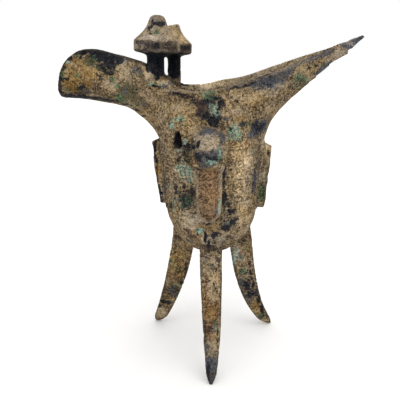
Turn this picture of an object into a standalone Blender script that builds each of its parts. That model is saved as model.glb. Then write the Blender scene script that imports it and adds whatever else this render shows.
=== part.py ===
"""Bronze jue: a tripod wine cup with a spout, a pointed tail, two capped posts and a strap handle.

It is one casting, so it is one solid. Lengths are in millimetres until solid_object() writes metres.
X runs from the spout (-) to the tail (+), the handle is on the -Y side, and Z is up from the feet.
"""

import math

import bmesh
import bpy
import numpy as np
from mathutils import Matrix, Vector

NAME = "jue"
METRES = 0.001

# Where the origin goes: under the middle of the whole cup's box, in the frame of the feet's centre
ORIGIN_X = -3.5
ORIGIN_Y = -9.2

# Cup: a round bowl, a slightly conical band, and a mouth that flares into the spout and the tail
CUP_X = -1.3
BOTTOM_Z = 65.0
BELLY_Z = 98.0
BELLY_R = 27.1
WAIST_Z = 134.0
WAIST_R = 30.2
BOWL_POWER = 2.0
WALL = 2.6
BOWL_ROWS = 6
BAND_ROWS = 2
MOUTH_ROWS = 9
HALF_COLUMNS = 27

# Rim of the near half, from the middle of the spout's lip to the tip of the tail.
# Each row: direction from the cup's axis to the wall below (degrees from the spout), x, half width, z
RIM = (
    (0, -86.0, 0.0, 156.7),
    (7, -86.7, 5.0, 158.1),
    (13, -86.0, 9.6, 162.4),
    (18, -83.4, 12.2, 170.5),
    (23, -78.6, 13.5, 177.0),
    (28, -71.5, 14.0, 181.3),
    (33, -63.0, 14.2, 182.1),
    (41, -50.0, 15.2, 179.2),
    (50, -36.0, 17.4, 174.3),
    (58, -26.5, 20.9, 168.5),
    (67, -18.5, 24.4, 163.9),
    (79, -8.5, 27.4, 162.6),
    (93, 3.0, 28.0, 164.1),
    (110, 15.5, 25.8, 166.7),
    (128, 30.5, 19.2, 171.7),
    (144, 45.0, 12.0, 176.7),
    (158, 59.0, 6.2, 181.5),
    (170, 70.5, 3.3, 186.0),
    (176, 76.0, 2.4, 188.9),
    (180, 79.6, 0.0, 189.6),
)
NECK_RISE_SPOUT = 9.0
NECK_RISE_TAIL = 15.5
SPOUT_SPLAY = 0.24
REACH_SPOUT = 0.67
REACH_TAIL = 0.64
REACH_ACROSS = 0.35
TAIL_CLIMB = 0.505
CLIMB_POWER = 0.6
TWIST_FROM_X = (-15.0, 18.0)
TWIST = 0.0016
# Depth, place along X and spread of each dip of the far side; a negative depth is a rise
FAR_DIPS = ((2.4, -28.0, 9.0), (-1.2, 5.0, 11.0))
THROAT_LIFT = 1.8
THROAT_X = -48.0
THROAT_LONG = 11.0
THROAT_WIDE = 16.0
# Heights where the lift starts, is full, starts to fade and has gone
THROAT_HEIGHTS = (134.0, 144.0, 158.0, 172.0)
CAVITY_OVER = 5.0
CAVITY_END_X = 64.0
CAVITY_NARROWEST = 0.22

# Legs: three curved blades with a flat outer face and a ridge inside, standing 120 degrees apart
LEG_ANGLES = (-90, 30, 150)
LEG_SWAY = (-0.5, 1.6, 1.1)
LEG_PATH = ((22.5, 92.0), (26.5, 60.0), (30.0, 32.0))
LEG_REACH = (46.4, 47.2, 47.3)
LEG_RINGS = 11
LEG_WIDTH_TOP = 12.4
LEG_WIDTH_FOOT = 4.9
LEG_DEPTH_TOP = 12.7
LEG_DEPTH_FOOT = 6.6
LEG_TAPER = 3.0
LEG_EDGE = 1.5
LEG_CROWN = 0.7
LEG_RIDGE = 1.1

# Flanges: one on each side and one at the back, in line with the spout, the tail and the handle
FLANGE_ANGLES = (0, 90, 180)
FLANGE_BOTTOM = 93.9
FLANGE_TOP = 133.6
FLANGE_OUT_TOP = 4.8
FLANGE_OUT_FOOT = 4.4
FLANGE_LEAN = 0.9
FLANGE_THICK = 3.2
FLANGE_SLANT = 2.6
FLANGE_NICK = 0.5
FLANGE_STATIONS = 7
FLANGE_ROOT = 1.2

# Handle: a strap from the animal's head down to the belly, with raised edges
HANDLE_X = -1.7
HANDLE_PATH = ((-24, 139), (-43, 140), (-51, 130), (-49.4, 116), (-48.2, 103), (-45, 94.5), (-23, 96.5))
STRAP_WIDTH_TOP = 13.8
STRAP_WIDTH_FOOT = 11.4
STRAP_THICK = 3.4
STRAP_BORDER = 1.5
STRAP_SUNK = 0.9
STRAP_SLOPE = 0.6
STRAP_RINGS = (6, 10)
STRAP_ROUND_Z = 107.4
STRAP_ROUND = 7.0
STRAP_NARROWEST = 0.4

# Head of the animal, a hood over the strap's upper bend with a horn lying back along each side.
# Rows: x from the handle's middle, y, z, half width, half height
HOOD = (
    (0.0, -25.0, 138.0, 6.4, 5.0),
    (0.0, -31.5, 138.8, 7.2, 6.0),
    (0.0, -38.0, 138.0, 7.6, 6.4),
    (0.0, -43.5, 135.8, 7.4, 6.2),
    (0.0, -47.2, 132.6, 6.9, 5.4),
    (0.0, -49.4, 129.6, 6.2, 4.0),
    (0.0, -50.6, 127.8, 4.8, 2.2),
)
HORN = (
    (5.6, -24.5, 143.0, 1.2, 1.2),
    (7.2, -31.0, 141.8, 1.6, 1.6),
    (7.6, -38.0, 139.2, 1.7, 1.7),
    (7.3, -45.0, 134.2, 1.4, 1.4),
    (6.6, -50.0, 127.0, 0.8, 0.8),
)
HOOD_RINGS = 10
HOOD_SIDES = 14
HORN_RINGS = 9
HORN_SIDES = 8
# Squashed balls on the hood: centre (x from the handle's middle, y, z) and radii
BROW_KNOB = ((0, -42.6, 140.4), (4.8, 4.4, 2.9))
MUZZLE = ((0, -50.2, 131.4), (4.9, 3.0, 2.6))
EYE = ((5.0, -45.4, 138.6), (1.8, 1.9, 1.6))
BALL_SEGMENTS = 10

# Posts: round stems under turned caps that sit a little off them; the far cap has lost its button
NEAR_STEM = (-31.1, -14.3)
NEAR_CAP = (-30.3, -14.3)
FAR_STEM = (-24.2, 16.0)
FAR_CAP = (-26.0, 16.0)
STEM_FOOT_Z = 161.0
STEM_TOP_Z = 182.0
STEM_TAPER = 4.0
NEAR_STEM_R = 4.5
FAR_STEM_R = 3.8
CAP_PROFILE = (
    (0.0, 200.0),
    (1.6, 200.0),
    (3.2, 199.4),
    (4.2, 197.9),
    (4.7, 196.2),
    (5.6, 194.1),
    (7.2, 191.8),
    (9.3, 189.7),
    (11.9, 187.4),
    (11.9, 182.6),
    (10.9, 182.0),
    (4.6, 180.0),
    (0.0, 179.6),
)
CAP_LEAN = math.radians(2.6)
FAR_CAP_DROP = 0.9
CAP_SEGMENTS = 24
BREAK_Z = 197.2
BREAK_SLOPE = math.radians(12)

# Hole: a casting flaw or a loss in the near wall beside the handle, shaped like a drop
HOLE_ANGLE = -124.0
HOLE_Z = 135.6
HOLE_R = 3.0
HOLE_POINT = 6.8
HOLE_TILT = math.radians(-9)
HOLE_SHARPNESS = 1.6
HOLE_REACH = 8.0

# Relief of the band: a mask split by the handle in front and by the flange at the back
RELIEF_RAISE = 0.9
RELIEF_SINK = 1.2
RELIEF_SHOULDER = 0.3
THREAD_WIDTH = 1.3
THREAD_ANGLES = (8, 15)
BAND_LOW = 95.6
BAND_HIGH = 131.6
EYE_ANGLE = 62.0
EYE_Z = 100.0
EYE_BOSS = (3.9, 2.9)
EYE_STEPS = ((-1.5, 1.0), (0.9, 1.0), (1.8, 0.6))
MASK_HORN = ((33, 126), (27, 114), (37, 107.5), (51, 111), (50, 121), (40, 119))
MASK_JAW = ((22, 104), (27, 97.0), (41, 95.8), (49, 99.5), (46, 105.5), (38, 104))
MASK_BROW = ((49, 106.5), (60, 107.2), (72, 109.5), (79, 117), (75, 126), (64, 127))


def clear_scene():
    """Removes what the scene holds."""
    for found in list(bpy.data.objects):
        bpy.data.objects.remove(found)


def new_collection(name):
    """A collection in the scene."""
    made = bpy.data.collections.new(name)
    bpy.context.scene.collection.children.link(made)
    return made


def patina():
    """Bronze under a tan earthy crust."""
    made = bpy.data.materials.new("jue patina")
    made.use_nodes = True
    shader = made.node_tree.nodes["Principled BSDF"]
    shader.inputs["Base Color"].default_value = (0.24, 0.17, 0.095, 1)
    shader.inputs["Roughness"].default_value = 0.8
    shader.inputs["Metallic"].default_value = 0.1
    return made


def smooth_through(stations, count):
    """Points of a Catmull-Rom curve through the rows of a table, evenly spaced in its parameter."""
    rows = np.asarray(stations, float)
    rows = np.vstack([2 * rows[0] - rows[1], rows, 2 * rows[-1] - rows[-2]])
    at = np.linspace(0, len(rows) - 3, count)
    k = np.minimum(at.astype(int), len(rows) - 4)
    t = (at - k)[:, None]
    a, b, c, d = rows[k], rows[k + 1], rows[k + 2], rows[k + 3]
    return b + 0.5 * t * (c - a + t * (2 * a - 5 * b + 4 * c - d + t * (3 * (b - c) + d - a)))


def bezier(a, b, c, d, t):
    """Points of a cubic Bezier curve with the control points a, b, c and d."""
    return (1 - t) ** 3 * a + 3 * t * (1 - t) ** 2 * b + 3 * t * t * (1 - t) * c + t**3 * d


def wall_radius(z):
    """Outer radius of the bowl below the belly and of the band above it."""
    down = np.clip((BELLY_Z - z) / (BELLY_Z - BOTTOM_Z), 0, 1)
    bowl = BELLY_R * (1 - down**BOWL_POWER) ** (1 / BOWL_POWER)
    band = BELLY_R + (WAIST_R - BELLY_R) * (z - BELLY_Z) / (WAIST_Z - BELLY_Z)
    return np.where(z < BELLY_Z, bowl, band)


def near_half():
    """Outer surface of the near half, from the bottom's pole to the rim: rows x columns x 3.

    Each column rises through bowl and band at one angle, then follows a Bezier curve to its rim point.
    """
    rim = smooth_through(RIM, HALF_COLUMNS)
    angle = np.radians(rim[:, 0])
    out = np.stack([-np.cos(angle), -np.sin(angle), np.zeros(len(angle))], axis=1)
    up = np.array([0.0, 0.0, 1.0])
    turn = np.linspace(0, math.pi / 2, BOWL_ROWS + 1)[1:]
    bowl_r = BELLY_R * np.sin(turn) ** (2 / BOWL_POWER)
    bowl_z = BELLY_Z - (BELLY_Z - BOTTOM_Z) * np.cos(turn) ** (2 / BOWL_POWER)
    band_z = np.linspace(BELLY_Z, WAIST_Z, BAND_ROWS + 1)[1:]
    radii = np.concatenate([bowl_r, wall_radius(band_z)])
    heights = np.concatenate([bowl_z, band_z])
    axis = np.array([CUP_X, 0.0, 0.0])
    lower = axis + radii[:, None, None] * out + heights[:, None, None] * up
    waist = lower[-1]
    end = np.stack([rim[:, 1], -rim[:, 2], rim[:, 3]], axis=1)
    lean = (WAIST_R - BELLY_R) / (WAIST_Z - BELLY_Z)
    rise = NECK_RISE_SPOUT + (NECK_RISE_TAIL - NECK_RISE_SPOUT) * angle / math.pi
    splay = lean + SPOUT_SPLAY * np.clip(np.cos(angle), 0, 1)
    first = waist + rise[:, None] * (splay[:, None] * out + up)
    along = REACH_SPOUT + (REACH_TAIL - REACH_SPOUT) * angle / math.pi
    climb = TAIL_CLIMB * (angle / math.pi) ** CLIMB_POWER
    reach = np.stack([along, np.full(len(angle), REACH_ACROSS), climb], axis=1)
    second = end - reach * (end - waist)
    t = np.linspace(0, 1, MOUTH_ROWS + 1)[1:, None, None]
    return np.concatenate([lower, bezier(waist, first, second, end, t)])


def both_halves(near):
    """The near half's grid carried round the far side, mirrored in Y, as closed rings.

    The casting is a little twisted along X: the far side stands lower at the spout and higher at the
    tail, and its rim dips beside the far post. The keel of the throat is lifted, which hollows the
    curve under the spout.
    """
    far = near[:, -2:0:-1] * (1, -1, 1)
    upper = np.clip((far[..., 2] - WAIST_Z) / (STEM_FOOT_Z - WAIST_Z), 0, 1)
    for depth, at, spread in FAR_DIPS:
        far[..., 2] -= depth * upper * np.exp(-(((far[..., 0] - at) / spread) ** 2))
    rings = np.concatenate([near, far], axis=1)
    x, y = rings[..., 0], rings[..., 1]
    full = np.interp(rings[..., 2], THROAT_HEIGHTS, (0, 1, 1, 0))
    place = ((x - THROAT_X) / THROAT_LONG) ** 2 + (y / THROAT_WIDE) ** 2
    rings[..., 2] += THROAT_LIFT * full * np.exp(-place)
    past = np.minimum(x - TWIST_FROM_X[0], 0) + np.maximum(x - TWIST_FROM_X[1], 0)
    rings[..., 2] += TWIST * past * rings[..., 1]
    return rings


def cavity_half(near):
    """The near half moved inwards by the wall, then carried on past the rim to cut the mouth open."""
    along = np.gradient(near, axis=1)
    up = np.gradient(near, axis=0)
    along[:, [0, -1], 0] = 0
    along[:, [0, -1], 2] = 0
    inward = np.cross(up, along)
    inward /= np.linalg.norm(inward, axis=2, keepdims=True)
    inner = near + WALL * inward
    inner[..., 1] = np.minimum(inner[..., 1], CAVITY_NARROWEST * near[..., 1])
    onward = inner[-1] - inner[-2]
    onward /= np.linalg.norm(onward, axis=1, keepdims=True)
    return np.concatenate([inner, [inner[-1] + CAVITY_OVER * onward]])


def solid_object(name, points, faces, collection):
    """An object whose mesh has these points, given in millimetres from the feet's centre."""
    shifted = (np.asarray(points, float) - (ORIGIN_X, ORIGIN_Y, 0)) * METRES
    mesh = bpy.data.meshes.new(name)
    mesh.from_pydata(shifted.tolist(), [], [list(face) for face in faces])
    made = bpy.data.objects.new(name, mesh)
    collection.objects.link(made)
    shell = bmesh.new()
    shell.from_mesh(mesh)
    bmesh.ops.remove_doubles(shell, verts=shell.verts, dist=1e-6)
    bmesh.ops.recalc_face_normals(shell, faces=shell.faces)
    shell.to_mesh(mesh)
    shell.free()
    return made


def helper(made):
    """Marks an object as one that is only joined to the cup or cut from it."""
    made.hide_render = True
    made.display_type = "WIRE"
    return made


def loft(name, rings, collection):
    """A closed solid through rings of equally many points, with a flat cap on each end ring."""
    rings = np.asarray(rings, float)
    count, around = rings.shape[:2]
    faces = []
    for i in range(count - 1):
        for j in range(around):
            k = (j + 1) % around
            faces.append((i * around + j, i * around + k, (i + 1) * around + k, (i + 1) * around + j))
    faces.append(range(around))
    faces.append(range((count - 1) * around, count * around))
    return solid_object(name, rings.reshape(-1, 3), faces, collection)


def vessel(name, half, pole_z, collection):
    """A closed solid from a half grid: rings round the cup, a pole below, rules across the mouth."""
    rings = both_halves(half)
    count, around = rings.shape[:2]
    points = np.concatenate([rings.reshape(-1, 3), [(CUP_X, 0, pole_z)]])
    pole = len(points) - 1
    faces = [(j, (j + 1) % around, pole) for j in range(around)]
    for i in range(count - 1):
        for j in range(around):
            k = (j + 1) % around
            faces.append((i * around + j, i * around + k, (i + 1) * around + k, (i + 1) * around + j))
    top = (count - 1) * around
    for j in range(half.shape[1] - 1):
        mirrored = [(around - j) % around, (around - j - 1) % around]
        faces.append(dict.fromkeys((top + j, top + j + 1, top + mirrored[1], top + mirrored[0])))
    return solid_object(name, points, faces, collection)


def cut_off(made, point, normal):
    """Cuts an object's mesh along a plane, drops the side that the normal points to, and caps it."""
    shell = bmesh.new()
    shell.from_mesh(made.data)
    place = (np.asarray(point, float) - (ORIGIN_X, ORIGIN_Y, 0)) * METRES
    everything = list(shell.verts) + list(shell.edges) + list(shell.faces)
    cut = bmesh.ops.bisect_plane(shell, geom=everything, plane_co=place, plane_no=normal, clear_outer=True)
    edges = [found for found in cut["geom_cut"] if isinstance(found, bmesh.types.BMEdge)]
    bmesh.ops.holes_fill(shell, edges=edges)
    bmesh.ops.recalc_face_normals(shell, faces=shell.faces)
    shell.to_mesh(made.data)
    shell.free()


def leg(index, azimuth, collection):
    """One blade: a section with a crowned outer face and an inner ridge, tapering down a curve to the sole.

    The blades bow a little along X, most at three quarters of the way down.
    """
    control = [np.array(point, float) for point in (*LEG_PATH, (LEG_REACH[index], 0.0))]
    out = np.array([math.cos(math.radians(azimuth)), math.sin(math.radians(azimuth)), 0])
    side = np.array([-out[1], out[0], 0])
    rings = []
    for t in np.linspace(0, 1, LEG_RINGS):
        r, z = bezier(*control, t)
        full = 1 - t**LEG_TAPER
        half = (LEG_WIDTH_FOOT + (LEG_WIDTH_TOP - LEG_WIDTH_FOOT) * full) / 2
        depth = LEG_DEPTH_FOOT + (LEG_DEPTH_TOP - LEG_DEPTH_FOOT) * full
        edge = LEG_EDGE * (0.5 + half / LEG_WIDTH_TOP)
        ridge = min(LEG_RIDGE, half / 2)
        section = (
            (0, -half),
            (LEG_CROWN, -half / 2),
            (LEG_CROWN, half / 2),
            (0, half),
            (-edge, half),
            (-depth, ridge),
            (-depth, -ridge),
            (-edge, -half),
        )
        sway = LEG_SWAY[index] * t**3 * (1 - t) / (0.75**3 * 0.25)
        shift = ((1 - t) * CUP_X - sway, 0, z)
        rings.append([(r + a) * out + b * side + shift for a, b in section])
    return loft(f"leg {index}", rings, collection)


def flange(index, azimuth, collection):
    """A thick fin on the wall, with a slanted top, a square bottom and small nicks along its edge."""
    out = np.array([math.cos(math.radians(azimuth)), math.sin(math.radians(azimuth)), 0])
    side = np.array([-out[1], out[0], 0]) * FLANGE_THICK / 2
    axis = np.array([CUP_X, 0, 0])
    heights = np.linspace(FLANGE_BOTTOM, FLANGE_TOP - FLANGE_SLANT, FLANGE_STATIONS)
    reach = np.linspace(FLANGE_OUT_FOOT, FLANGE_OUT_TOP, FLANGE_STATIONS)
    reach[2::3] -= FLANGE_NICK
    edge = list(zip(wall_radius(heights) + reach, heights))
    foot = [(wall_radius(z) - FLANGE_ROOT, z) for z in (FLANGE_TOP, FLANGE_BOTTOM)]
    drop = FLANGE_LEAN * math.cos(math.radians(azimuth))
    outline = [(r, z - drop) for r, z in edge + foot]
    rings = [[axis + r * out + sign * side + (0, 0, z) for r, z in outline] for sign in (-1, 1)]
    return loft(f"flange {index}", rings, collection)


def handle(collection):
    """The strap, swept along two Bezier curves in the plane of the handle and rounded off below."""
    path = [np.array(point, float) for point in HANDLE_PATH]
    spine = [bezier(*path[:4], t) for t in np.linspace(0, 1, STRAP_RINGS[0])]
    spine += [bezier(*path[3:], t) for t in np.linspace(0, 1, STRAP_RINGS[1])[1:]]
    spine = np.array(spine)
    heading = np.gradient(spine, axis=0)
    heading /= np.linalg.norm(heading, axis=1, keepdims=True)
    rings = []
    for i, (centre, ahead) in enumerate(zip(spine, heading)):
        half = (STRAP_WIDTH_TOP + (STRAP_WIDTH_FOOT - STRAP_WIDTH_TOP) * i / (len(spine) - 1)) / 2
        below = min(max(STRAP_ROUND_Z - centre[1], 0) / STRAP_ROUND, 1)
        half *= max(math.sqrt(1 - below * below), STRAP_NARROWEST)
        face = STRAP_THICK / 2
        outward = np.array([ahead[1], -ahead[0]])
        section = (
            (-half, -face),
            (-half, face),
            (STRAP_BORDER - half, face),
            (STRAP_BORDER + STRAP_SLOPE - half, face - STRAP_SUNK),
            (half - STRAP_BORDER - STRAP_SLOPE, face - STRAP_SUNK),
            (half - STRAP_BORDER, face),
            (half, face),
            (half, -face),
        )
        rings.append([(HANDLE_X + a, *(centre + b * outward)) for a, b in section])
    return loft("handle strap", rings, collection)


def ball(name, centre, radii, collection):
    """A squashed ball on the animal's head."""
    shell = bmesh.new()
    bmesh.ops.create_uvsphere(shell, u_segments=BALL_SEGMENTS, v_segments=BALL_SEGMENTS // 2, radius=1)
    points = np.array([corner.co[:] for corner in shell.verts])
    faces = [[corner.index for corner in face.verts] for face in shell.faces]
    shell.free()
    return solid_object(name, points * radii + centre, faces, collection)


def limb(name, table, sign, rings, sides, collection):
    """Oval sections square to a curve through a table's rows. Sign -1 puts it on the other side."""
    rows = smooth_through(table, rings)
    spine = rows[:, :3] * (sign, 1, 1) + (HANDLE_X, 0, 0)
    ahead = np.gradient(spine, axis=0)
    over = np.cross((1.0, 0.0, 0.0), ahead)
    over /= np.linalg.norm(over, axis=1, keepdims=True)
    across = np.cross(ahead, over)
    across /= np.linalg.norm(across, axis=1, keepdims=True)
    turn = np.linspace(0, 2 * math.pi, sides, endpoint=False)[:, None, None]
    oval = spine + rows[:, 3:4] * np.cos(turn) * across + rows[:, 4:5] * np.sin(turn) * over
    return loft(name, oval.transpose(1, 0, 2), collection)


def head(collection):
    """The hood with its brow and muzzle, and a horn and an eye on each side."""
    limb("hood", HOOD, 1, HOOD_RINGS, HOOD_SIDES, collection)
    for name, (centre, radii) in (("brow knob", BROW_KNOB), ("muzzle", MUZZLE)):
        ball(name, np.add(centre, (HANDLE_X, 0, 0)), radii, collection)
    (x, y, z), radii = EYE
    for sign in (-1, 1):
        ball(f"eye {sign}", (HANDLE_X + sign * x, y, z), radii, collection)
        limb(f"head horn {sign}", HORN, sign, HORN_RINGS, HORN_SIDES, collection)


def turned(name, profile, place, collection):
    """A profile of (radius, z), from the top down, turned about the axis at a place, as a plain mesh."""
    mesh = bpy.data.meshes.new(name)
    points = [(r * METRES, 0, z * METRES) for r, z in profile]
    mesh.from_pydata(points, [(i, i + 1) for i in range(len(profile) - 1)], [])
    made = bpy.data.objects.new(name, mesh)
    collection.objects.link(made)
    screw = made.modifiers.new("turn", "SCREW")
    screw.steps = CAP_SEGMENTS
    screw.render_steps = CAP_SEGMENTS
    screw.use_merge_vertices = True
    screw.merge_threshold = 0.00001
    solid = bpy.data.meshes.new_from_object(made.evaluated_get(bpy.context.evaluated_depsgraph_get()))
    made.modifiers.clear()
    made.data = solid
    for corner in solid.vertices:
        corner.co.x += (place[0] - ORIGIN_X) * METRES
        corner.co.y += (place[1] - ORIGIN_Y) * METRES
    return made


def lean(made, place, drop):
    """Tips a cap towards the tail about the middle of its underside, and lowers it."""
    pivot = np.array([(place[0] - ORIGIN_X), (place[1] - ORIGIN_Y), STEM_TOP_Z]) * METRES
    turn = Matrix.Rotation(CAP_LEAN, 4, "Y")
    shift = Vector((0, 0, -drop * METRES))
    back = Matrix.Translation(Vector(pivot) + shift)
    made.data.transform(back @ turn @ Matrix.Translation(-Vector(pivot)))


def stem(name, place, radius, collection):
    """A round stem with a tapered foot that runs down the inside of the rim."""
    profile = (
        (0.0, STEM_TOP_Z),
        (radius, STEM_TOP_Z),
        (radius, STEM_FOOT_Z + STEM_TAPER),
        (radius / 2, STEM_FOOT_Z),
        (0.0, STEM_FOOT_Z),
    )
    return turned(name, profile, place, collection)


def on_wall(azimuth, z, raised):
    """A point of the band, this far out from the wall. Azimuth is in degrees from +X."""
    r = wall_radius(z) + raised
    a = math.radians(azimuth)
    return np.array([CUP_X + r * math.cos(a), r * math.sin(a), z])


def ridge(name, path, width, collection):
    """A raised line on the band: path holds (azimuth, z) in degrees and millimetres."""
    path = np.asarray(path, float)
    flat = path * (math.radians(WAIST_R), 1)
    ahead = np.gradient(flat, axis=0)
    ahead /= np.linalg.norm(ahead, axis=1, keepdims=True)
    across = np.stack([-ahead[:, 1], ahead[:, 0]], axis=1)
    section = (
        (-0.5, -RELIEF_SINK),
        (-0.5, RELIEF_SHOULDER),
        (-0.25, RELIEF_RAISE),
        (0.25, RELIEF_RAISE),
        (0.5, RELIEF_SHOULDER),
        (0.5, -RELIEF_SINK),
    )
    rings = []
    for here, aside in zip(flat, across):
        ring = []
        for a, raised in section:
            s, z = here + a * width * aside
            ring.append(on_wall(s / math.radians(WAIST_R), z, raised))
        rings.append(ring)
    return loft(name, rings, collection)


def quarter_relief(index, start, mirrored, collection):
    """Half a mask: eye, horn, jaw, brow and the threads beside a flange.

    Its own angles run from 0 at the side flange to 90 in the middle of the face.
    """

    def azimuth(angle):
        return start + (180 - angle if mirrored else angle)

    def line(name, stations, samples, width):
        path = smooth_through([(azimuth(angle), z) for angle, z in stations], samples)
        ridge(f"{name} {index}", path, width, collection)

    line("horn", MASK_HORN, 13, 2.6)
    line("jaw", MASK_JAW, 11, 2.0)
    line("brow", MASK_BROW, 13, 2.4)
    for angle in THREAD_ANGLES:
        ends = ((azimuth(angle), BAND_LOW), (azimuth(angle), BAND_HIGH))
        ridge(f"thread {angle} {index}", ends, THREAD_WIDTH, collection)
    boss = []
    for raised, size in EYE_STEPS:
        turn = np.linspace(0, 2 * math.pi, 12, endpoint=False)
        angles = EYE_ANGLE + EYE_BOSS[0] * size * np.cos(turn) / math.radians(WAIST_R)
        heights = EYE_Z + EYE_BOSS[1] * size * np.sin(turn)
        boss.append([on_wall(azimuth(a), z, raised) for a, z in zip(angles, heights)])
    loft(f"mask eye {index}", boss, collection)


def drop_cutter(collection):
    """A drop-shaped bar through the near wall, its point up."""
    turn = np.linspace(0, 2 * math.pi, 16, endpoint=False)
    across = HOLE_R * np.sin(turn)
    point = HOLE_POINT * np.abs(np.cos(turn)) ** HOLE_SHARPNESS
    rise = np.where(np.cos(turn) > 0, point, HOLE_R * np.cos(turn))
    a = across * np.cos(HOLE_TILT) - rise * np.sin(HOLE_TILT)
    z = across * np.sin(HOLE_TILT) + rise * np.cos(HOLE_TILT) + HOLE_Z
    out = np.array([math.cos(math.radians(HOLE_ANGLE)), math.sin(math.radians(HOLE_ANGLE)), 0])
    side = np.array([-out[1], out[0], 0])
    rings = []
    for r in (WAIST_R - HOLE_REACH, WAIST_R + HOLE_REACH):
        rings.append([(CUP_X, 0, 0) + r * out + b * side + (0, 0, c) for b, c in zip(a, z)])
    return loft("hole cutter", rings, collection)


def combine(cup, operation, operand):
    """Adds a Boolean with one object, or with every object of a collection."""
    step = cup.modifiers.new(f"{operation.lower()} {operand.name}", "BOOLEAN")
    step.operation = operation
    step.solver = "EXACT"
    if isinstance(operand, bpy.types.Collection):
        step.operand_type = "COLLECTION"
        step.collection = operand
    else:
        step.object = operand


def build():
    """Models the cup and leaves it as one object with its Booleans."""
    clear_scene()
    parts = new_collection(NAME)
    outside = new_collection("joined outside")
    posts = new_collection("joined posts")
    cutters = new_collection("cutters")
    half = near_half()
    cup = vessel(NAME, half, BOTTOM_Z, parts)
    cavity = vessel("cavity", cavity_half(half), BOTTOM_Z + WALL, cutters)
    cut_off(cavity, (CAVITY_END_X, 0, 0), (1, 0, 0))
    for index, azimuth in enumerate(LEG_ANGLES):
        leg(index, azimuth, outside)
    for index, azimuth in enumerate(FLANGE_ANGLES):
        flange(index, azimuth, outside)
    handle(outside)
    head(outside)
    for index, (start, mirrored) in enumerate(((0, False), (0, True), (180, False), (180, True))):
        quarter_relief(index, start, mirrored, outside)
    stem("near stem", NEAR_STEM, NEAR_STEM_R, posts)
    stem("far stem", FAR_STEM, FAR_STEM_R, posts)
    lean(turned("near cap", CAP_PROFILE, NEAR_CAP, posts), NEAR_CAP, 0)
    far = turned("far cap", CAP_PROFILE, FAR_CAP, posts)
    slope = (math.sin(-BREAK_SLOPE), 0, math.cos(BREAK_SLOPE))
    cut_off(far, (*FAR_CAP, BREAK_Z), slope)
    lean(far, FAR_CAP, FAR_CAP_DROP)
    hole = drop_cutter(cutters)
    for made in (*outside.objects, *posts.objects, *cutters.objects):
        helper(made)
    combine(cup, "UNION", outside)
    combine(cup, "DIFFERENCE", cavity)
    combine(cup, "DIFFERENCE", hole)
    combine(cup, "UNION", posts)
    cup.data.materials.append(patina())
    cup.data.shade_smooth()
    cup.data.set_sharp_from_angle(angle=math.radians(35))


build()
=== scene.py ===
# %% [markdown]
# # A bronze jue
#
# A jue is a wine cup on three blade legs, cast in one piece more than three thousand years ago.
# It has a channel spout, a pointed tail, two capped posts on the rim, and a handle with an animal's
# head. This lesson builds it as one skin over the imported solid. Numpy shells give the forms, a
# voxel remesh fuses them as the mould did, and noise lays the burial crust over the metal.

import math

import bpy
import numpy as np
from mathutils import Matrix, Vector


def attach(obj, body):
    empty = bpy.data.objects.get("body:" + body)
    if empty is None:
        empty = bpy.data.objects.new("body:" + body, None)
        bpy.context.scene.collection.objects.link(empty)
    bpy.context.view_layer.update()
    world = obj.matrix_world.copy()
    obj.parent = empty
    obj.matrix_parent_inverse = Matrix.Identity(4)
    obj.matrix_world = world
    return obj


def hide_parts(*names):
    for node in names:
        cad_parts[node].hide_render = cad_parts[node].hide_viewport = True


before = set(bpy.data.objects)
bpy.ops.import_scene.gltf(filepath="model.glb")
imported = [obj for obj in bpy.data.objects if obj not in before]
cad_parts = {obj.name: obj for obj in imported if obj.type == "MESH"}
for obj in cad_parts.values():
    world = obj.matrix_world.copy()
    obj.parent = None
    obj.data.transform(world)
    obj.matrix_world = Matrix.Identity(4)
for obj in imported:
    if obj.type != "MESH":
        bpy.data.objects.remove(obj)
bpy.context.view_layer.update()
MM = 0.001
FEET = np.array([3.5, 9.2, 0.0])
rng = np.random.default_rng(1046)

# %% [markdown]
# ## Curves
#
# Every form here is a table of a few stations and a smooth curve through them.
# A Catmull-Rom curve passes through each station, and a Bezier curve bends between two ends.

# %% Curve helpers


def smooth_through(stations, count):
    """Catmull-Rom from b to c: b + (c-a)t/2 + (2a-5b+4c-d)t^2/2 + (3b-3c+d-a)t^3/2."""
    rows = np.asarray(stations, float)
    rows = np.vstack([2 * rows[0] - rows[1], rows, 2 * rows[-1] - rows[-2]])
    at = np.linspace(0, len(rows) - 3, count)
    k = np.minimum(at.astype(int), len(rows) - 4)
    t = (at - k)[:, None]
    a, b, c, d = rows[k], rows[k + 1], rows[k + 2], rows[k + 3]
    return b + 0.5 * t * (c - a + t * (2 * a - 5 * b + 4 * c - d + t * (3 * (b - c) + d - a)))


def bezier(a, b, c, d, t):
    """Cubic Bezier: (1-t)^3 a + 3t(1-t)^2 b + 3t^2(1-t) c + t^3 d."""
    return (1 - t) ** 3 * a + 3 * t * (1 - t) ** 2 * b + 3 * t * t * (1 - t) * c + t**3 * d


def ease(low, high, value):
    """0 below low, 1 above high, and 3t^2 - 2t^3 between them."""
    t = np.clip((value - low) / (high - low), 0, 1)
    return t * t * (3 - 2 * t)


def unit(vectors):
    """Each vector divided by its own length."""
    return vectors / np.maximum(np.linalg.norm(vectors, axis=-1, keepdims=True), 1e-9)


print("a curve through 3 stations:", smooth_through(((0, 0), (1, 2), (2, 0)), 5).round(2).tolist())

# %% [markdown]
# ## Cup
#
# The cup is a round bowl and a slightly conical band. Above the waist each upright line of the wall
# leaves the band and bends out to its own point of the rim, which draws the spout and the tail.
# The casting isn't quite even: it is twisted along its length, the far rim dips at the post, and
# the keel of the throat is lifted where the spout leaves the wall.

# %% Cup dimensions
CUP_X = -1.3
BOTTOM_Z = 65.0
BELLY_Z = 98.0
BELLY_R = 27.1
WAIST_Z = 134.0
WAIST_R = 30.2
WALL = 2.6
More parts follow.
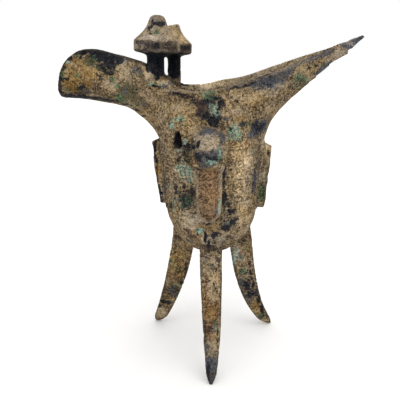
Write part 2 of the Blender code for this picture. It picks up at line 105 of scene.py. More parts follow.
# Rim of the near half: degrees from the spout at the wall below, x, half width, z
RIM = (
    (0, -86.0, 0.0, 156.7),
    (7, -86.7, 5.0, 158.1),
    (13, -86.0, 9.6, 162.4),
    (18, -83.4, 12.2, 170.5),
    (23, -78.6, 13.5, 177.0),
    (28, -71.5, 14.0, 181.3),
    (33, -63.0, 14.2, 182.1),
    (41, -50.0, 15.2, 179.2),
    (50, -36.0, 17.4, 174.3),
    (58, -26.5, 20.9, 168.5),
    (67, -18.5, 24.4, 163.9),
    (79, -8.5, 27.4, 162.6),
    (93, 3.0, 28.0, 164.1),
    (110, 15.5, 25.8, 166.7),
    (128, 30.5, 19.2, 171.7),
    (144, 45.0, 12.0, 176.7),
    (158, 59.0, 6.2, 181.5),
    (170, 70.5, 3.3, 186.0),
    (176, 76.0, 2.4, 188.9),
    (180, 79.8, 0.0, 189.8),
)
NECK_RISE = (9.0, 15.5)
SPLAY = 0.24
REACH_ALONG = (0.67, 0.64)
REACH_ACROSS = 0.35
TAIL_CLIMB = 0.505
TWIST = 0.0016
TWIST_FROM_X = (-15.0, 18.0)
# Dips of the far rim: depth, x and spread
FAR_DIPS = ((2.4, -28.0, 9.0), (-1.2, 5.0, 11.0))
DIP_FULL_Z = 161.0
# Lift of the throat: its height, its x, its spread along and across, and where it starts and fades
THROAT_LIFT = (1.8, -48.0, 11.0, 16.0)
THROAT_HEIGHTS = (134.0, 144.0, 158.0, 172.0)
CHANNEL_END_X = 64.0
CHANNEL_FALL = 0.5
CHANNEL_NARROWEST = 0.22
# Columns of the near half, then rows of the bowl, the band and the mouth
CUP_GRID = (240, 40, 40, 90)
print(f"wall {WALL} mm, rim from {RIM[0][1]} to {RIM[-1][1]} mm along x")

# %% Cup wall


def wall_radius(z):
    """Outer radius: an ellipse's quarter below the belly, a cone above it."""
    down = np.clip((BELLY_Z - z) / (BELLY_Z - BOTTOM_Z), 0, 1)
    bowl = BELLY_R * np.sqrt(1 - down * down)
    band = BELLY_R + (WAIST_R - BELLY_R) * (z - BELLY_Z) / (WAIST_Z - BELLY_Z)
    return np.where(z < BELLY_Z, bowl, band)


def near_half(columns, bowl_rows, band_rows, mouth_rows):
    """Outer wall on a grid: the bowl's ellipse, the band's cone, then a Bezier curve per column."""
    rim = smooth_through(RIM, columns)
    angle = np.radians(rim[:, 0])
    out = np.stack([-np.cos(angle), -np.sin(angle), np.zeros(columns)], axis=1)
    up = np.array([0.0, 0.0, 1.0])
    turn = np.linspace(0, math.pi / 2, bowl_rows + 1)[1:]
    bowl_z = BELLY_Z - (BELLY_Z - BOTTOM_Z) * np.cos(turn)
    heights = np.concatenate([bowl_z, np.linspace(BELLY_Z, WAIST_Z, band_rows + 1)[1:]])
    radii = np.concatenate([BELLY_R * np.sin(turn), wall_radius(heights[bowl_rows:])])
    lower = radii[:, None, None] * out + heights[:, None, None] * up + (CUP_X, 0, 0)
    waist = lower[-1]
    end = np.stack([rim[:, 1], -rim[:, 2], rim[:, 3]], axis=1)
    share = angle / math.pi
    cone = (WAIST_R - BELLY_R) / (WAIST_Z - BELLY_Z)
    rise = NECK_RISE[0] + (NECK_RISE[1] - NECK_RISE[0]) * share
    splay = cone + SPLAY * np.clip(np.cos(angle), 0, 1)
    first = waist + rise[:, None] * (splay[:, None] * out + up)
    along = REACH_ALONG[0] + (REACH_ALONG[1] - REACH_ALONG[0]) * share
    reach = np.stack([along, np.full(columns, REACH_ACROSS), TAIL_CLIMB * share**0.6], axis=1)
    t = np.linspace(0, 1, mouth_rows + 1)[1:, None, None]
    return np.concatenate([lower, bezier(waist, first, end - reach * (end - waist), end, t)])


def inner_half(near):
    """Each point moved inwards, square to the wall. The tail's channel stops short of its tip."""
    along = np.gradient(near, axis=1)
    up = np.gradient(near, axis=0)
    along[:, [0, -1], 0] = 0
    along[:, [0, -1], 2] = 0
    inner = near + WALL * unit(np.cross(up, along))
    inner[..., 1] = np.minimum(inner[..., 1], CHANNEL_NARROWEST * near[..., 1])
    past = np.maximum(inner[..., 0] - CHANNEL_END_X, 0)
    inner[..., 0] -= past
    inner[..., 2] -= CHANNEL_FALL * past
    return inner


def both_halves(near):
    """The half carried round the far side: its rim dips, the throat lifts, the whole twists."""
    far = near[:, -2:0:-1] * (1, -1, 1)
    upper = np.clip((far[..., 2] - WAIST_Z) / (DIP_FULL_Z - WAIST_Z), 0, 1)
    for depth, at, spread in FAR_DIPS:
        far[..., 2] -= depth * upper * np.exp(-(((far[..., 0] - at) / spread) ** 2))
    rings = np.concatenate([near, far], axis=1)
    x, y = rings[..., 0], rings[..., 1]
    lift, at, along, wide = THROAT_LIFT
    full = np.interp(rings[..., 2], THROAT_HEIGHTS, (0, 1, 1, 0))
    rings[..., 2] += lift * full * np.exp(-(((x - at) / along) ** 2) - (y / wide) ** 2)
    past = np.minimum(x - TWIST_FROM_X[0], 0) + np.maximum(x - TWIST_FROM_X[1], 0)
    rings[..., 2] += TWIST * past * rings[..., 1]
    return rings


def closed_shell(rings):
    """Points and triangles of a closed skin: rings joined in order, a fan over each end ring."""
    count, around = rings.shape[:2]
    points = np.concatenate([rings.reshape(-1, 3), rings[[0, -1]].mean(axis=1)])
    i, j = np.meshgrid(np.arange(count - 1), np.arange(around), indexing="ij")
    a = i * around + j
    b = i * around + (j + 1) % around
    quads = [np.stack([a, b, b + around], -1), np.stack([a, b + around, a + around], -1)]
    j = np.arange(around)
    k = (j + 1) % around
    first = np.stack([k, j, np.full(around, count * around)], -1)
    last = np.stack([j, k, np.full(around, count * around + 1)], -1)
    last[:, :2] += (count - 1) * around
    triangles = np.concatenate([quads[0].reshape(-1, 3), quads[1].reshape(-1, 3), first, last])
    corners = points[triangles]
    volume = np.einsum("ij,ij->", corners[:, 0], np.cross(corners[:, 1], corners[:, 2]))
    return points, triangles if volume > 0 else triangles[:, ::-1]


def cup():
    """Outer wall from the pole up to the rim, then the inner wall back down to its own pole."""
    near = near_half(*CUP_GRID)
    outer = both_halves(near)
    inner = both_halves(inner_half(near))
    return closed_shell(np.concatenate([outer, inner[::-1]]))


shells = [cup()]
print("cup:", len(shells[0][0]), "points")

# %% [markdown]
# ## Legs
#
# Each leg is a blade with a flat outer face and a ridge inside. One section is carried down a curve
# that swings outwards to the foot. Its top is held inside the thickness of the bowl's wall.

# %% Legs
LEG_SWAY = {-90: -0.5, 30: 1.6, 150: 1.1}
LEG_PATH = ((22.5, 92.0), (26.5, 60.0), (30.0, 32.0))
LEG_REACH = {-90: 46.4, 30: 47.2, 150: 47.3}
LEG_WIDTH = (12.4, 4.9)
LEG_DEPTH = (12.7, 6.6)
LEG_CROWN = 0.7
LEG_EDGE = 1.5
LEG_RIDGE = 1.1
SWAY_AT = 0.75
SOLE_ROUND = 5.5


def held_in_wall(points):
    """A point inside the hollow moves straight out from the axis to the middle of the wall."""
    flat = points[..., :2] - (CUP_X, 0)
    low = points[..., 2] < BELLY_Z
    stretch = BELLY_R / (BELLY_Z - BOTTOM_Z)
    lift = np.where(low, (points[..., 2] - BELLY_Z) * stretch, 0)
    r = np.sqrt((flat**2).sum(-1) + lift**2)
    middle = np.where(low, BELLY_R, wall_radius(points[..., 2])) - WALL / 2
    scale = np.maximum(middle / np.maximum(r, 1e-6), 1)[..., None]
    moved = points.copy()
    moved[..., :2] = flat * scale + (CUP_X, 0)
    moved[..., 2] = np.where(low, BELLY_Z + lift * scale[..., 0] / stretch, points[..., 2])
    inside = (r < middle) & (points[..., 2] > BOTTOM_Z)
    return np.where(inside[..., None], moved, points)


def leg(azimuth):
    """Section points times the width and depth at t, which shrink as 1 - t^3."""
    t = np.linspace(0, 1, 120)[:, None]
    stations = [np.array(point) for point in (*LEG_PATH, (LEG_REACH[azimuth], 0.0))]
    path = bezier(*stations, t)
    full = 1 - t**3
    half = (LEG_WIDTH[1] + (LEG_WIDTH[0] - LEG_WIDTH[1]) * full) / 2
    depth = LEG_DEPTH[1] + (LEG_DEPTH[0] - LEG_DEPTH[1]) * full
    edge = LEG_EDGE * (0.5 + half / LEG_WIDTH[0])
    ridge = np.minimum(LEG_RIDGE, half / 2)
    zero, crown = 0 * t, 0 * t + LEG_CROWN
    inward = np.hstack([zero, crown, crown, zero, -edge, -depth, -depth, -edge])
    aside = np.hstack([-half, -half / 2, half / 2, half, half, ridge, -ridge, -half])
    a = math.radians(azimuth)
    out = np.array([math.cos(a), math.sin(a), 0])
    side = np.array([-out[1], out[0], 0])
    sway = LEG_SWAY[azimuth] * t**3 * (1 - t) / (SWAY_AT**3 * (1 - SWAY_AT))
    centre = np.hstack([(1 - t) * CUP_X - sway, zero, path[:, 1:]])
    sole = np.clip(path[:, 1:] / SOLE_ROUND, 0, 1)
    kept = 0.3 + 0.7 * sole**0.6
    reach = path[:, :1] - 0.2 * (1 - kept) * depth + kept * inward
    rings = centre[:, None] + reach[..., None] * out + (kept * aside)[..., None] * side
    return closed_shell(held_in_wall(rings))


shells += [leg(azimuth) for azimuth in LEG_SWAY]
print("legs:", len(LEG_SWAY), "blades", LEG_WIDTH[0], "mm wide at the top")

# %% [markdown]
# ## Flanges
#
# Three short fins stand on the wall in line with the spout, the tail and the back of the mask.
# They covered the joints of the mould. Here each is a flat outline given a thickness.

# %% Flanges
FLANGE_ANGLES = (0, 90, 180)
FLANGE_Z = (93.9, 133.6)
FLANGE_OUT = (4.4, 4.8)
FLANGE_THICK = 3.2
FLANGE_SLANT = 2.6
FLANGE_ROOT = 1.2
FLANGE_LEAN = 0.9


def flange(azimuth):
    """Outline (r, z) on both sides of the plane through the axis at this azimuth."""
    z = np.linspace(FLANGE_Z[0], FLANGE_Z[1] - FLANGE_SLANT, 40)
    edge = np.stack([wall_radius(z) + np.linspace(*FLANGE_OUT, 40), z], -1)
    root = [(float(wall_radius(np.array(z))) - FLANGE_ROOT, z) for z in FLANGE_Z[::-1]]
    outline = np.concatenate([edge, root])
    a = math.radians(azimuth)
    outline[:, 1] -= FLANGE_LEAN * math.cos(a)
    out = np.array([math.cos(a), math.sin(a), 0])
    side = np.array([-out[1], out[0], 0])
    sheet = outline[:, :1] * out + outline[:, 1:] * (0, 0, 1) + (CUP_X, 0, 0)
    shift = np.linspace(-0.5, 0.5, 5)[:, None, None] * FLANGE_THICK * side
    return closed_shell(sheet + shift)


shells += [flange(azimuth) for azimuth in FLANGE_ANGLES]
print("flanges at", FLANGE_ANGLES, "degrees")

# %% [markdown]
# ## Handle
#
# The handle is a strap with raised borders. It comes off the wall under an animal's head, bends
# down and turns back in to the belly with a rounded end. The head is a hood of oval sections over
# the bend, with a brow, a muzzle, two eyes, and a horn lying back along each side.

# %% Handle strap
HANDLE_X = -1.7
HANDLE_PATH = (
    (-24, 139),
    (-43, 140),
    (-51, 130),
    (-49.4, 116),
    (-48.2, 103),
    (-45, 94.5),
    (-23, 96.5),
)
STRAP_WIDTH = (13.8, 11.4)
STRAP_THICK = 3.4
STRAP_BORDER = 1.5
STRAP_SUNK = 0.9
STRAP_SLOPE = 0.6
STRAP_ROUND = (107.4, 7.0)
STRAP_END = 0.4


def strap():
    """Two Bezier curves in the plane x = HANDLE_X. The section is a tray, an arc at the end."""
    path = [np.array(point, float) for point in HANDLE_PATH]
    t = np.linspace(0, 1, 60)[:, None]
    spine = np.concatenate([bezier(*path[:4], t), bezier(*path[3:], t)[1:]])
    ahead = unit(np.gradient(spine, axis=0))
    half = np.linspace(*STRAP_WIDTH, len(spine)) / 2
    below = np.clip((STRAP_ROUND[0] - spine[:, 1]) / STRAP_ROUND[1], 0, 1)
    half = (half * np.maximum(np.sqrt(1 - below**2), STRAP_END))[:, None]
    face = STRAP_THICK / 2
    floor = half - STRAP_BORDER
    slope = floor - STRAP_SLOPE
    sunk = face - STRAP_SUNK
    aside = np.hstack([-half, -half, -floor, -slope, slope, floor, half, half])
    high = np.array([-face, face, face, sunk, sunk, face, face, -face])
    y = spine[:, :1] + high * ahead[:, 1:]
    z = spine[:, 1:] - high * ahead[:, :1]
    return closed_shell(held_in_wall(np.stack([HANDLE_X + aside, y, z], -1)))


shells.append(strap())
print("strap:", STRAP_WIDTH, "mm wide")

# %% Animal's head
# Rows: x from the handle's middle, y, z, half width, half height
HOOD = (
    (0.0, -25.0, 138.0, 6.4, 5.0),
    (0.0, -31.5, 138.8, 7.2, 6.0),
    (0.0, -38.0, 138.0, 7.6, 6.4),
    (0.0, -43.5, 135.8, 7.4, 6.2),
    (0.0, -47.2, 132.6, 6.9, 5.4),
    (0.0, -49.4, 129.6, 6.2, 4.0),
    (0.0, -50.6, 127.8, 4.8, 2.2),
)
HORN = (
    (5.6, -24.5, 143.0, 1.2, 1.2),
    (7.2, -31.0, 141.8, 1.6, 1.6),
    (7.6, -38.0, 139.2, 1.7, 1.7),
    (7.3, -45.0, 134.2, 1.4, 1.4),
    (6.6, -50.0, 127.0, 0.8, 0.8),
)
# Balls: x from the handle's middle, y, z, then the three radii
HEAD_BALLS = (
    (0, -42.6, 140.4, 4.8, 4.4, 2.9),
    (0, -50.2, 131.4, 4.9, 3.0, 2.6),
    (5.0, -45.4, 138.6, 1.8, 1.9, 1.6),
    (-5.0, -45.4, 138.6, 1.8, 1.9, 1.6),
)
BALL_GRID = (16, 28)
POLE_GAP = 0.05


def limb(table, rings, sides, side=(1.0, 0.0, 0.0)):
    """Ovals, half width along side and half height over, square to a curve through the rows."""
    rows = smooth_through(table, rings)
    spine = rows[:, :3]
    ahead = np.gradient(spine, axis=0)
    over = unit(np.cross(side, ahead))
    across = unit(np.cross(ahead, over))
    turn = np.linspace(0, 2 * math.pi, sides, endpoint=False)
    oval = np.cos(turn)[:, None] * (rows[:, None, 3:4] * across[:, None])
    oval = oval + np.sin(turn)[:, None] * (rows[:, None, 4:5] * over[:, None])
    return closed_shell(held_in_wall(spine[:, None] + oval))


def on_handle(table, sign=1):
    """The table's rows moved to the handle's middle, or mirrored about it."""
    return np.asarray(table) * (sign, 1, 1, 1, 1) + (HANDLE_X, 0, 0, 0, 0)


def ball(x, y, z, rx, ry, rz):
    """A sphere on latitude and longitude, stretched to three radii."""
    lat = np.linspace(POLE_GAP, math.pi - POLE_GAP, BALL_GRID[0])[:, None]
    lon = np.linspace(0, 2 * math.pi, BALL_GRID[1], endpoint=False)
    flat = np.sin(lat)
    rings = np.stack([flat * np.cos(lon), flat * np.sin(lon), np.cos(lat) + 0 * lon], -1)
    return closed_shell(rings * (rx, ry, rz) + (x, y, z))


shells.append(limb(on_handle(HOOD), 60, 48))
shells += [limb(on_handle(HORN, sign), 50, 20) for sign in (-1, 1)]
shells += [ball(HANDLE_X + x, y, z, *radii) for x, y, z, *radii in HEAD_BALLS]
print("head:", 3 + len(HEAD_BALLS), "forms")

# %% [markdown]
# ## Tip of the tail
#
# The tail runs out solid beyond its channel and ends blunt. A rod of flat ovals inside the two
# walls gives it that body, so the remesh can't wear the thin end away.

# %% Tip of the tail
# Rows: x, y, z, half width, half height
TAIL_TIP = (
    (64.0, 0.0, 179.0, 1.6, 1.8),
    (67.5, 0.0, 181.4, 1.9, 2.0),
    (72.0, 0.0, 184.3, 1.9, 1.8),
    (76.5, 0.0, 188.0, 1.5, 1.2),
    (79.8, 0.0, 189.9, 1.0, 0.7),
)
shells.append(limb(TAIL_TIP, 40, 24, (0.0, 1.0, 0.0)))
print("tail ends at", TAIL_TIP[-1][0], "mm")

# %% [markdown]
# ## Posts
#
# Two posts stand on the rim where the spout begins. Their caps are turned shapes: a profile goes
# once round its axis. Both caps lean a little, and the far one has lost its button, so it ends in a
# break.

# %% Posts
# Rows: radius, z
CAP_PROFILE = (
    (0.4, 200.0),
    (1.6, 200.0),
    (3.2, 199.4),
    (4.2, 197.9),
    (4.7, 196.2),
    (5.6, 194.1),
    (7.2, 191.8),
    (9.3, 189.7),
    (11.9, 187.4),
    (11.9, 182.6),
    (11.1, 181.9),
    (7.6, 181.1),
    (4.8, 179.9),
    (0.4, 179.4),
)
# Rows: x, y, how far the cap sits lower
CAPS = ((-30.3, -14.3, 0.0), (-26.0, 16.0, 0.9))
CAP_LEAN = math.radians(2.6)
STEM_TOP = 182.0
STEM_HEIGHTS = (172.0, 168.0, 165.0, 161.0)
# Rows: x, y, radius, how far the stem swells over the rim
STEMS = ((-31.1, -14.3, 4.5, 1.0), (-24.2, 16.0, 3.8, 0.1))
TURNED_SIDES = 110
BREAK_Z = 197.2
BREAK_SLOPE = math.radians(12)


def turned(profile, x, y):
    """Rings (r cos a, r sin a, z) round the upright line at x, y."""
    r, z = np.asarray(profile, float).T
    a = np.linspace(0, 2 * math.pi, TURNED_SIDES, endpoint=False)
    rings = np.stack([np.outer(r, np.cos(a)), np.outer(r, np.sin(a)), z[:, None] + 0 * a], -1)
    return rings + (x, y, 0)


def cap(x, y, drop, broken):
    """The turned cap, cut off at a slant where it is broken, then leaned about its seat."""
    rings = turned(CAP_PROFILE, x, y)
    if broken:
        rings = turned(np.repeat(CAP_PROFILE, 4, axis=0)[:-3], x, y)
        plane = BREAK_Z + (rings[..., 0] - x) * math.tan(BREAK_SLOPE)
        rings[..., 2] = np.minimum(rings[..., 2], plane)
    local = rings - (x, y, STEM_TOP)
    tipped = local.copy()
    tipped[..., 0] = local[..., 0] * math.cos(CAP_LEAN) + local[..., 2] * math.sin(CAP_LEAN)
    tipped[..., 2] = local[..., 2] * math.cos(CAP_LEAN) - local[..., 0] * math.sin(CAP_LEAN)
    return closed_shell(tipped + (x, y, STEM_TOP - drop))


def stem(x, y, radius, swell):
    """A round stem that swells over the rim and tapers to a foot inside it."""
    radii = (radius, radius, radius + swell, radius, radius / 2)
    return closed_shell(turned(tuple(zip(radii, (STEM_TOP, *STEM_HEIGHTS))), x, y))


shells += [cap(*place, broken) for place, broken in zip(CAPS, (False, True))]
shells += [stem(*row) for row in STEMS]
print("posts: caps", 2 * CAP_PROFILE[8][0], "mm wide")

# %% [markdown]
# ## Crust at the posts
#
# Corrosion has grown where the posts meet the rim, as it does in any corner that holds water.
# A few small balls there melt into the casting and leave a lumpy collar.

# %% Lumps of crust
# Rows: x, y, z and radius of a lump
LUMPS = (
    (-29.0, -18.2, 166.6, 1.8),
    (-33.6, -17.8, 167.8, 1.6),
    (-27.6, -17.0, 169.2, 1.5),
    (-31.2, -19.0, 168.8, 1.4),
    (-34.8, -15.6, 169.4, 1.7),
    (-30.4, -18.3, 172.6, 1.2),
    (-27.0, 14.0, 166.0, 1.6),
)
shells += [ball(x, y, z, r, 0.9 * r, r) for x, y, z, r in LUMPS]
print("lumps of crust:", len(LUMPS))

# %% [markdown]
# ## One casting
#
# All shells go into one mesh, and a voxel remesh keeps only what the outside air can reach.
# Crossing shells fuse, as bronze does in a mould. The small casting fault at the waist is then cut
# through the wall with a pointed prism. A little smoothing rounds every corner, as wear does.

# %% Fuse the shells
VOXEL = 0.6
HOLE_AZIMUTH = math.radians(-126)
HOLE_Z = 135.3
HOLE_R = 3.0
HOLE_POINT = 7.2
HOLE_TILT = math.radians(-9)
HOLE_REACH = (20.0, 27.0, 33.0, 40.0)


def mesh_of(name, points, triangles):
    """A Blender mesh from whole arrays. Points are in millimetres from the feet's centre."""
    mesh = bpy.data.meshes.new(name)
    mesh.vertices.add(len(points))
    mesh.vertices.foreach_set("co", ((points + FEET) * MM).astype(np.float32).ravel())
    mesh.loops.add(3 * len(triangles))
    mesh.loops.foreach_set("vertex_index", triangles.astype(np.int32).ravel())
    mesh.polygons.add(len(triangles))
    mesh.polygons.foreach_set("loop_start", np.arange(0, 3 * len(triangles), 3, dtype=np.int32))
    mesh.update(calc_edges=True)
    mesh.validate()
    return mesh


def add_object(name, data):
    """An object at the origin, in the scene."""
    made = bpy.data.objects.new(name, data)
    bpy.context.scene.collection.objects.link(made)
    return made


def evaluated(piece):
    """The mesh that an object's modifiers make, kept on the object in place of the modifiers."""
    graph = bpy.context.evaluated_depsgraph_get()
    made = bpy.data.meshes.new_from_object(piece.evaluated_get(graph))
    piece.modifiers.clear()
    piece.data = made
    return made


def read_vectors(mesh, name):
    """Each vertex's "co" or "normal" as rows of three."""
    flat = np.empty(3 * len(mesh.vertices), np.float32)
    mesh.vertices.foreach_get(name, flat)
    return flat.reshape(-1, 3).astype(float)


def read_points(mesh):
    """Vertex positions in millimetres from the feet's centre."""
    return read_vectors(mesh, "co") / MM - FEET


def write_points(mesh, points):
    """Puts positions back into the mesh."""
    mesh.vertices.foreach_set("co", ((points + FEET) * MM).astype(np.float32).ravel())
    mesh.update()


def fault_cutter():
    """A circle of radius r whose top is drawn up to a point, carried straight through the wall."""
    turn = np.linspace(0, 2 * math.pi, 48, endpoint=False)
    up = HOLE_R * np.sin(turn)
    up += (HOLE_POINT - HOLE_R) * np.clip(np.sin(turn), 0, 1) ** 1.6
    aside = HOLE_R * np.cos(turn)
    across = aside * math.cos(HOLE_TILT) - up * math.sin(HOLE_TILT)
    z = HOLE_Z + aside * math.sin(HOLE_TILT) + up * math.cos(HOLE_TILT)
    out = np.array([math.cos(HOLE_AZIMUTH), math.sin(HOLE_AZIMUTH), 0])
    side = np.array([-out[1], out[0], 0])
    ring = across[:, None] * side + z[:, None] * (0, 0, 1) + (CUP_X, 0, 0)
    return closed_shell(np.array([ring + r * out for r in HOLE_REACH]))


starts = np.cumsum([0] + [len(points) for points, _ in shells])
all_points = np.concatenate([points for points, _ in shells])
moved = [triangles + start for (_, triangles), start in zip(shells, starts)]
jue = add_object("jue_skin", mesh_of("jue_skin", all_points, np.concatenate(moved)))
cutter = add_object("fault_cutter", mesh_of("fault_cutter", *fault_cutter()))
remesh = jue.modifiers.new("fuse", "REMESH")
remesh.mode = "VOXEL"
remesh.voxel_size = VOXEL * MM
cut = jue.modifiers.new("cut", "BOOLEAN")
cut.solver = "MANIFOLD"
cut.operation = "DIFFERENCE"
cut.object = cutter
skin = evaluated(jue)
bpy.data.objects.remove(cutter)
print("fused skin:", len(skin.vertices), "points,", len(skin.polygons), "faces")

# %% Round the corners
# One step in and one step out, so that corners round and the whole doesn't shrink
ROUND_STEPS = 3
ROUND_SHARES = (0.5, -0.42)


def edges_of(mesh):
    """Edge ends as an array of index pairs."""
    flat = np.empty(2 * len(mesh.edges), np.int32)
    mesh.edges.foreach_get("vertices", flat)
    return flat.reshape(-1, 2)


def neighbour_mean(values, edges):
    """For each vertex, the mean of the values at the other ends of its edges."""
    a, b = edges.T
    count = np.bincount(a, minlength=len(values)) + np.bincount(b, minlength=len(values))
    columns = values.reshape(len(values), -1)
    total = np.empty_like(columns)
    for axis in range(columns.shape[1]):
        column = columns[:, axis]
        total[:, axis] = np.bincount(a, column[b], len(values))
        total[:, axis] += np.bincount(b, column[a], len(values))
    return (total / count[:, None]).reshape(values.shape)


points = read_points(skin)
edges = edges_of(skin)
before = points.copy()
for share in ROUND_SHARES * ROUND_STEPS:
    points += share * (neighbour_mean(points, edges) - points)
write_points(skin, points)
print("rounding moved the skin by up to", round(float(np.abs(points - before).max()), 2), "mm")

# %% [markdown]
# ## Band of masks
#
# Round the wall runs a band of taotie, the masks of an animal with round eyes, horns and jaws.
# Each mask is folded about a flange, so one quarter of the band is drawn and mirrored four times:
# a point's own angle is 0 at the side flange and 90 in the middle of a face. A point rises by how
# near it is to a curve, and squared spirals fill the ground between the curves.

# %% Relief
RAISE = 0.85
LINE_CUT = 0.45
THREAD_HALF = 0.75
THREADS = (8.0, 15.0)
EYE_ANGLE = 62.0
EYE_Z = 100.0
EYE_RADII = (3.9, 2.9)
EYE_RISE = 0.5
PUPIL = 0.9
BAND_Z = (94.2, 133.0)
BAND_FADE = 0.8
BAND_EDGE = (0.5, 0.6)
SPIRAL_CELL = 6.4
SPIRAL_TURNS = 1.6
SPIRAL_DEPTH = 0.32
# Each curve: width in mm, then own angle and z
MASK_CURVES = (
    (2.6, ((33, 126), (27, 114), (37, 107.5), (51, 111), (50, 121), (40, 119))),
    (2.0, ((22, 104), (27, 97), (41, 95.8), (49, 99.5), (46, 105.5), (38, 104))),
    (2.4, ((49, 106.5), (60, 107.2), (72, 109.5), (79, 117), (75, 126), (64, 127))),
)
ARC = math.radians(1) * 28.6


def own_angle(points):
    """Degrees from the nearer side flange."""
    azimuth = np.abs(np.degrees(np.arctan2(points[:, 1], points[:, 0] - CUP_X)))
    return np.minimum(azimuth, 180 - azimuth)


def on_band(points, normals):
    """1 on the outer face of the band, 0 elsewhere."""
    flat = points[:, :2] - (CUP_X, 0)
    r = np.hypot(*flat.T)
    outward = (flat * normals[:, :2]).sum(1) / r
    near = 1 - ease(0.6, 1.1, np.abs(r - wall_radius(points[:, 2])))
    low, high = BAND_Z
    height = ease(low - BAND_FADE, low, points[:, 2])
    height *= 1 - ease(high, high + BAND_FADE, points[:, 2])
    return near * height * ease(0.5, 0.8, outward)


def distance_to_curve(u, z, curve):
    """Least distance from each point to the straight pieces between the curve's samples."""
    line = smooth_through(curve, 34) * (ARC, 1)
    best = np.full(len(u), 99.0)
    for start, end in zip(line[:-1], line[1:]):
        step = end - start
        along = (u - start[0]) * step[0] + (z - start[1]) * step[1]
        along = np.clip(along / (step @ step), 0, 1)
        gap = np.hypot(u - start[0] - along * step[0], z - start[1] - along * step[1])
        best = np.minimum(best, gap)
    return best


def squared_spiral(u, z):
    """frac(turns * max(|a|, |b|) + angle / 2 pi) in each cell; every second cell is mirrored."""
    cell_u, cell_z = np.floor(u / SPIRAL_CELL), np.floor(z / SPIRAL_CELL)
    a = 2 * (u / SPIRAL_CELL - cell_u) - 1
    b = 2 * (z / SPIRAL_CELL - cell_z) - 1
    a = np.where((cell_u + cell_z) % 2 == 0, a, -a)
    wave = (SPIRAL_TURNS * np.maximum(abs(a), abs(b)) + np.arctan2(b, a) / (2 * math.pi)) % 1
    return ease(0.25, 0.6, np.abs(2 * wave - 1))


def relief_height(own, z):
    """Curves, threads and the eye's boss over a ground of spirals, in mm."""
    u = own * ARC
    height = np.zeros(len(u))
    for width, curve in MASK_CURVES:
        gap = distance_to_curve(u, z, curve)
        height = np.maximum(height, RAISE * (1 - ease(width / 2 - 0.5, width / 2 + 0.4, gap)))
        height -= LINE_CUT * np.exp(-((gap / LINE_CUT) ** 2))
    for angle in THREADS:
        height = np.maximum(height, RAISE * np.exp(-(((u - angle * ARC) / THREAD_HALF) ** 2)))
    eye = np.hypot((u - EYE_ANGLE * ARC) / EYE_RADII[0], (z - EYE_Z) / EYE_RADII[1])
    boss = (RAISE + EYE_RISE) * (1 - ease(0.55, 1.05, eye)) - PUPIL * (1 - ease(0.15, 0.45, eye))
    height = np.where(eye < 1.3, boss, height)
    rise, spread = BAND_EDGE
    for edge in BAND_Z:
        height = np.maximum(height, rise * np.exp(-(((z - edge) / spread) ** 2)))
    ground = 1 - ease(0.1, 0.4, np.abs(height))
    return height - SPIRAL_DEPTH * ground * squared_spiral(u, z)


normals = read_vectors(skin, "normal")
band = np.flatnonzero(on_band(points, normals) > 0.01)
print("points on the band:", len(band))

# %% [markdown]
# ## Crust
#
# Burial leaves a crust that is rough at every scale. Value noise gives that: random heights at the
# corners of a lattice, blended between them, with smaller and weaker lattices added.

# %% Noise
HASH = (73856093, 19349663, 83492791)
VALUES = 4096
NEXT_LAYER = 0.55


def lattice_noise(points, size, seed):
    """Random values from -1 to 1 at lattice corners, blended by 3t^2 - 2t^3 along each axis."""
    values = np.random.default_rng(seed).uniform(-1, 1, VALUES)
    base = np.floor(points / size).astype(np.int64)
    t = points / size - base
    t = t * t * (3 - 2 * t)
    total = np.zeros(len(points))
    for corner in np.ndindex(2, 2, 2):
        at = base + corner
        key = (at[:, 0] * HASH[0]) ^ (at[:, 1] * HASH[1]) ^ (at[:, 2] * HASH[2])
        weight = np.where(corner, t, 1 - t).prod(axis=1)
        total += weight * values[key & (VALUES - 1)]
    return total


def layered_noise(points, size, layers, seed):
    """Lattice noise of each size half the one before, each at 0.55 of its strength."""
    strengths = NEXT_LAYER ** np.arange(layers)
    total = sum(s * lattice_noise(points, size / 2**k, seed + k) for k, s in enumerate(strengths))
    return total / strengths.sum()


print("noise at three points:", layered_noise(np.eye(3) * 5, 8, 3, 1).round(3).tolist())

# %% Relief and crust on the skin
SWELL = 0.12
CRUST = 0.42
PIT = 0.5
BAND_CRUST = 0.6
BAND_WEAR = (0.35, 0.65)
# Rows: x of the ledge, how far it stands out, how slowly it fades
KEEL_LEDGES = ((71.6, 1.0, 5.0), (62.0, 0.9, 4.0), (55.4, 0.7, 4.0), (51.8, 0.6, 8.0))


def on_caps(points):
    """1 on the two caps, 0 elsewhere."""
    x, _, z = points.T
    return ease(177.0, 179.0, z) * ease(-44.0, -43.0, x) * ease(-11.0, -12.0, x)


def on_strap(points):
    """1 on the handle below its head."""
    _, y, z = points.T
    return ease(-39.5, -41.0, y) * ease(130.0, 128.0, z) * ease(80.0, 85.0, z)


def on_flanges(points):
    """1 on the outer edges of the three flanges, 0 elsewhere."""
    z = points[:, 2]
    beyond = np.hypot(*(points[:, :2] - (CUP_X, 0)).T) - wall_radius(z)
    low, high = FLANGE_Z
    return ease(2.0, 4.0, beyond) * ease(low - 2, low, z) * ease(high + 2, high, z)


def keel_steps(points, normals):
    """Under the tail, ledges that stand out by h and fade as exp(-distance / length)."""
    height = np.zeros(len(points))
    for at, high, fade in KEEL_LEDGES:
        back = at - points[:, 0]
        step = high * ease(-0.3, 0.3, back)
        height = np.maximum(height, step * np.exp(-np.maximum(back, 0) / fade))
    return height * ease(0.1, 0.7, -normals[:, 2]) * ease(4.5, 2.0, np.abs(points[:, 1]))


# How much rougher each form is than the wall
ROUGHER = ((on_flanges, 0.9), (on_caps, -0.55), (on_strap, -0.5))


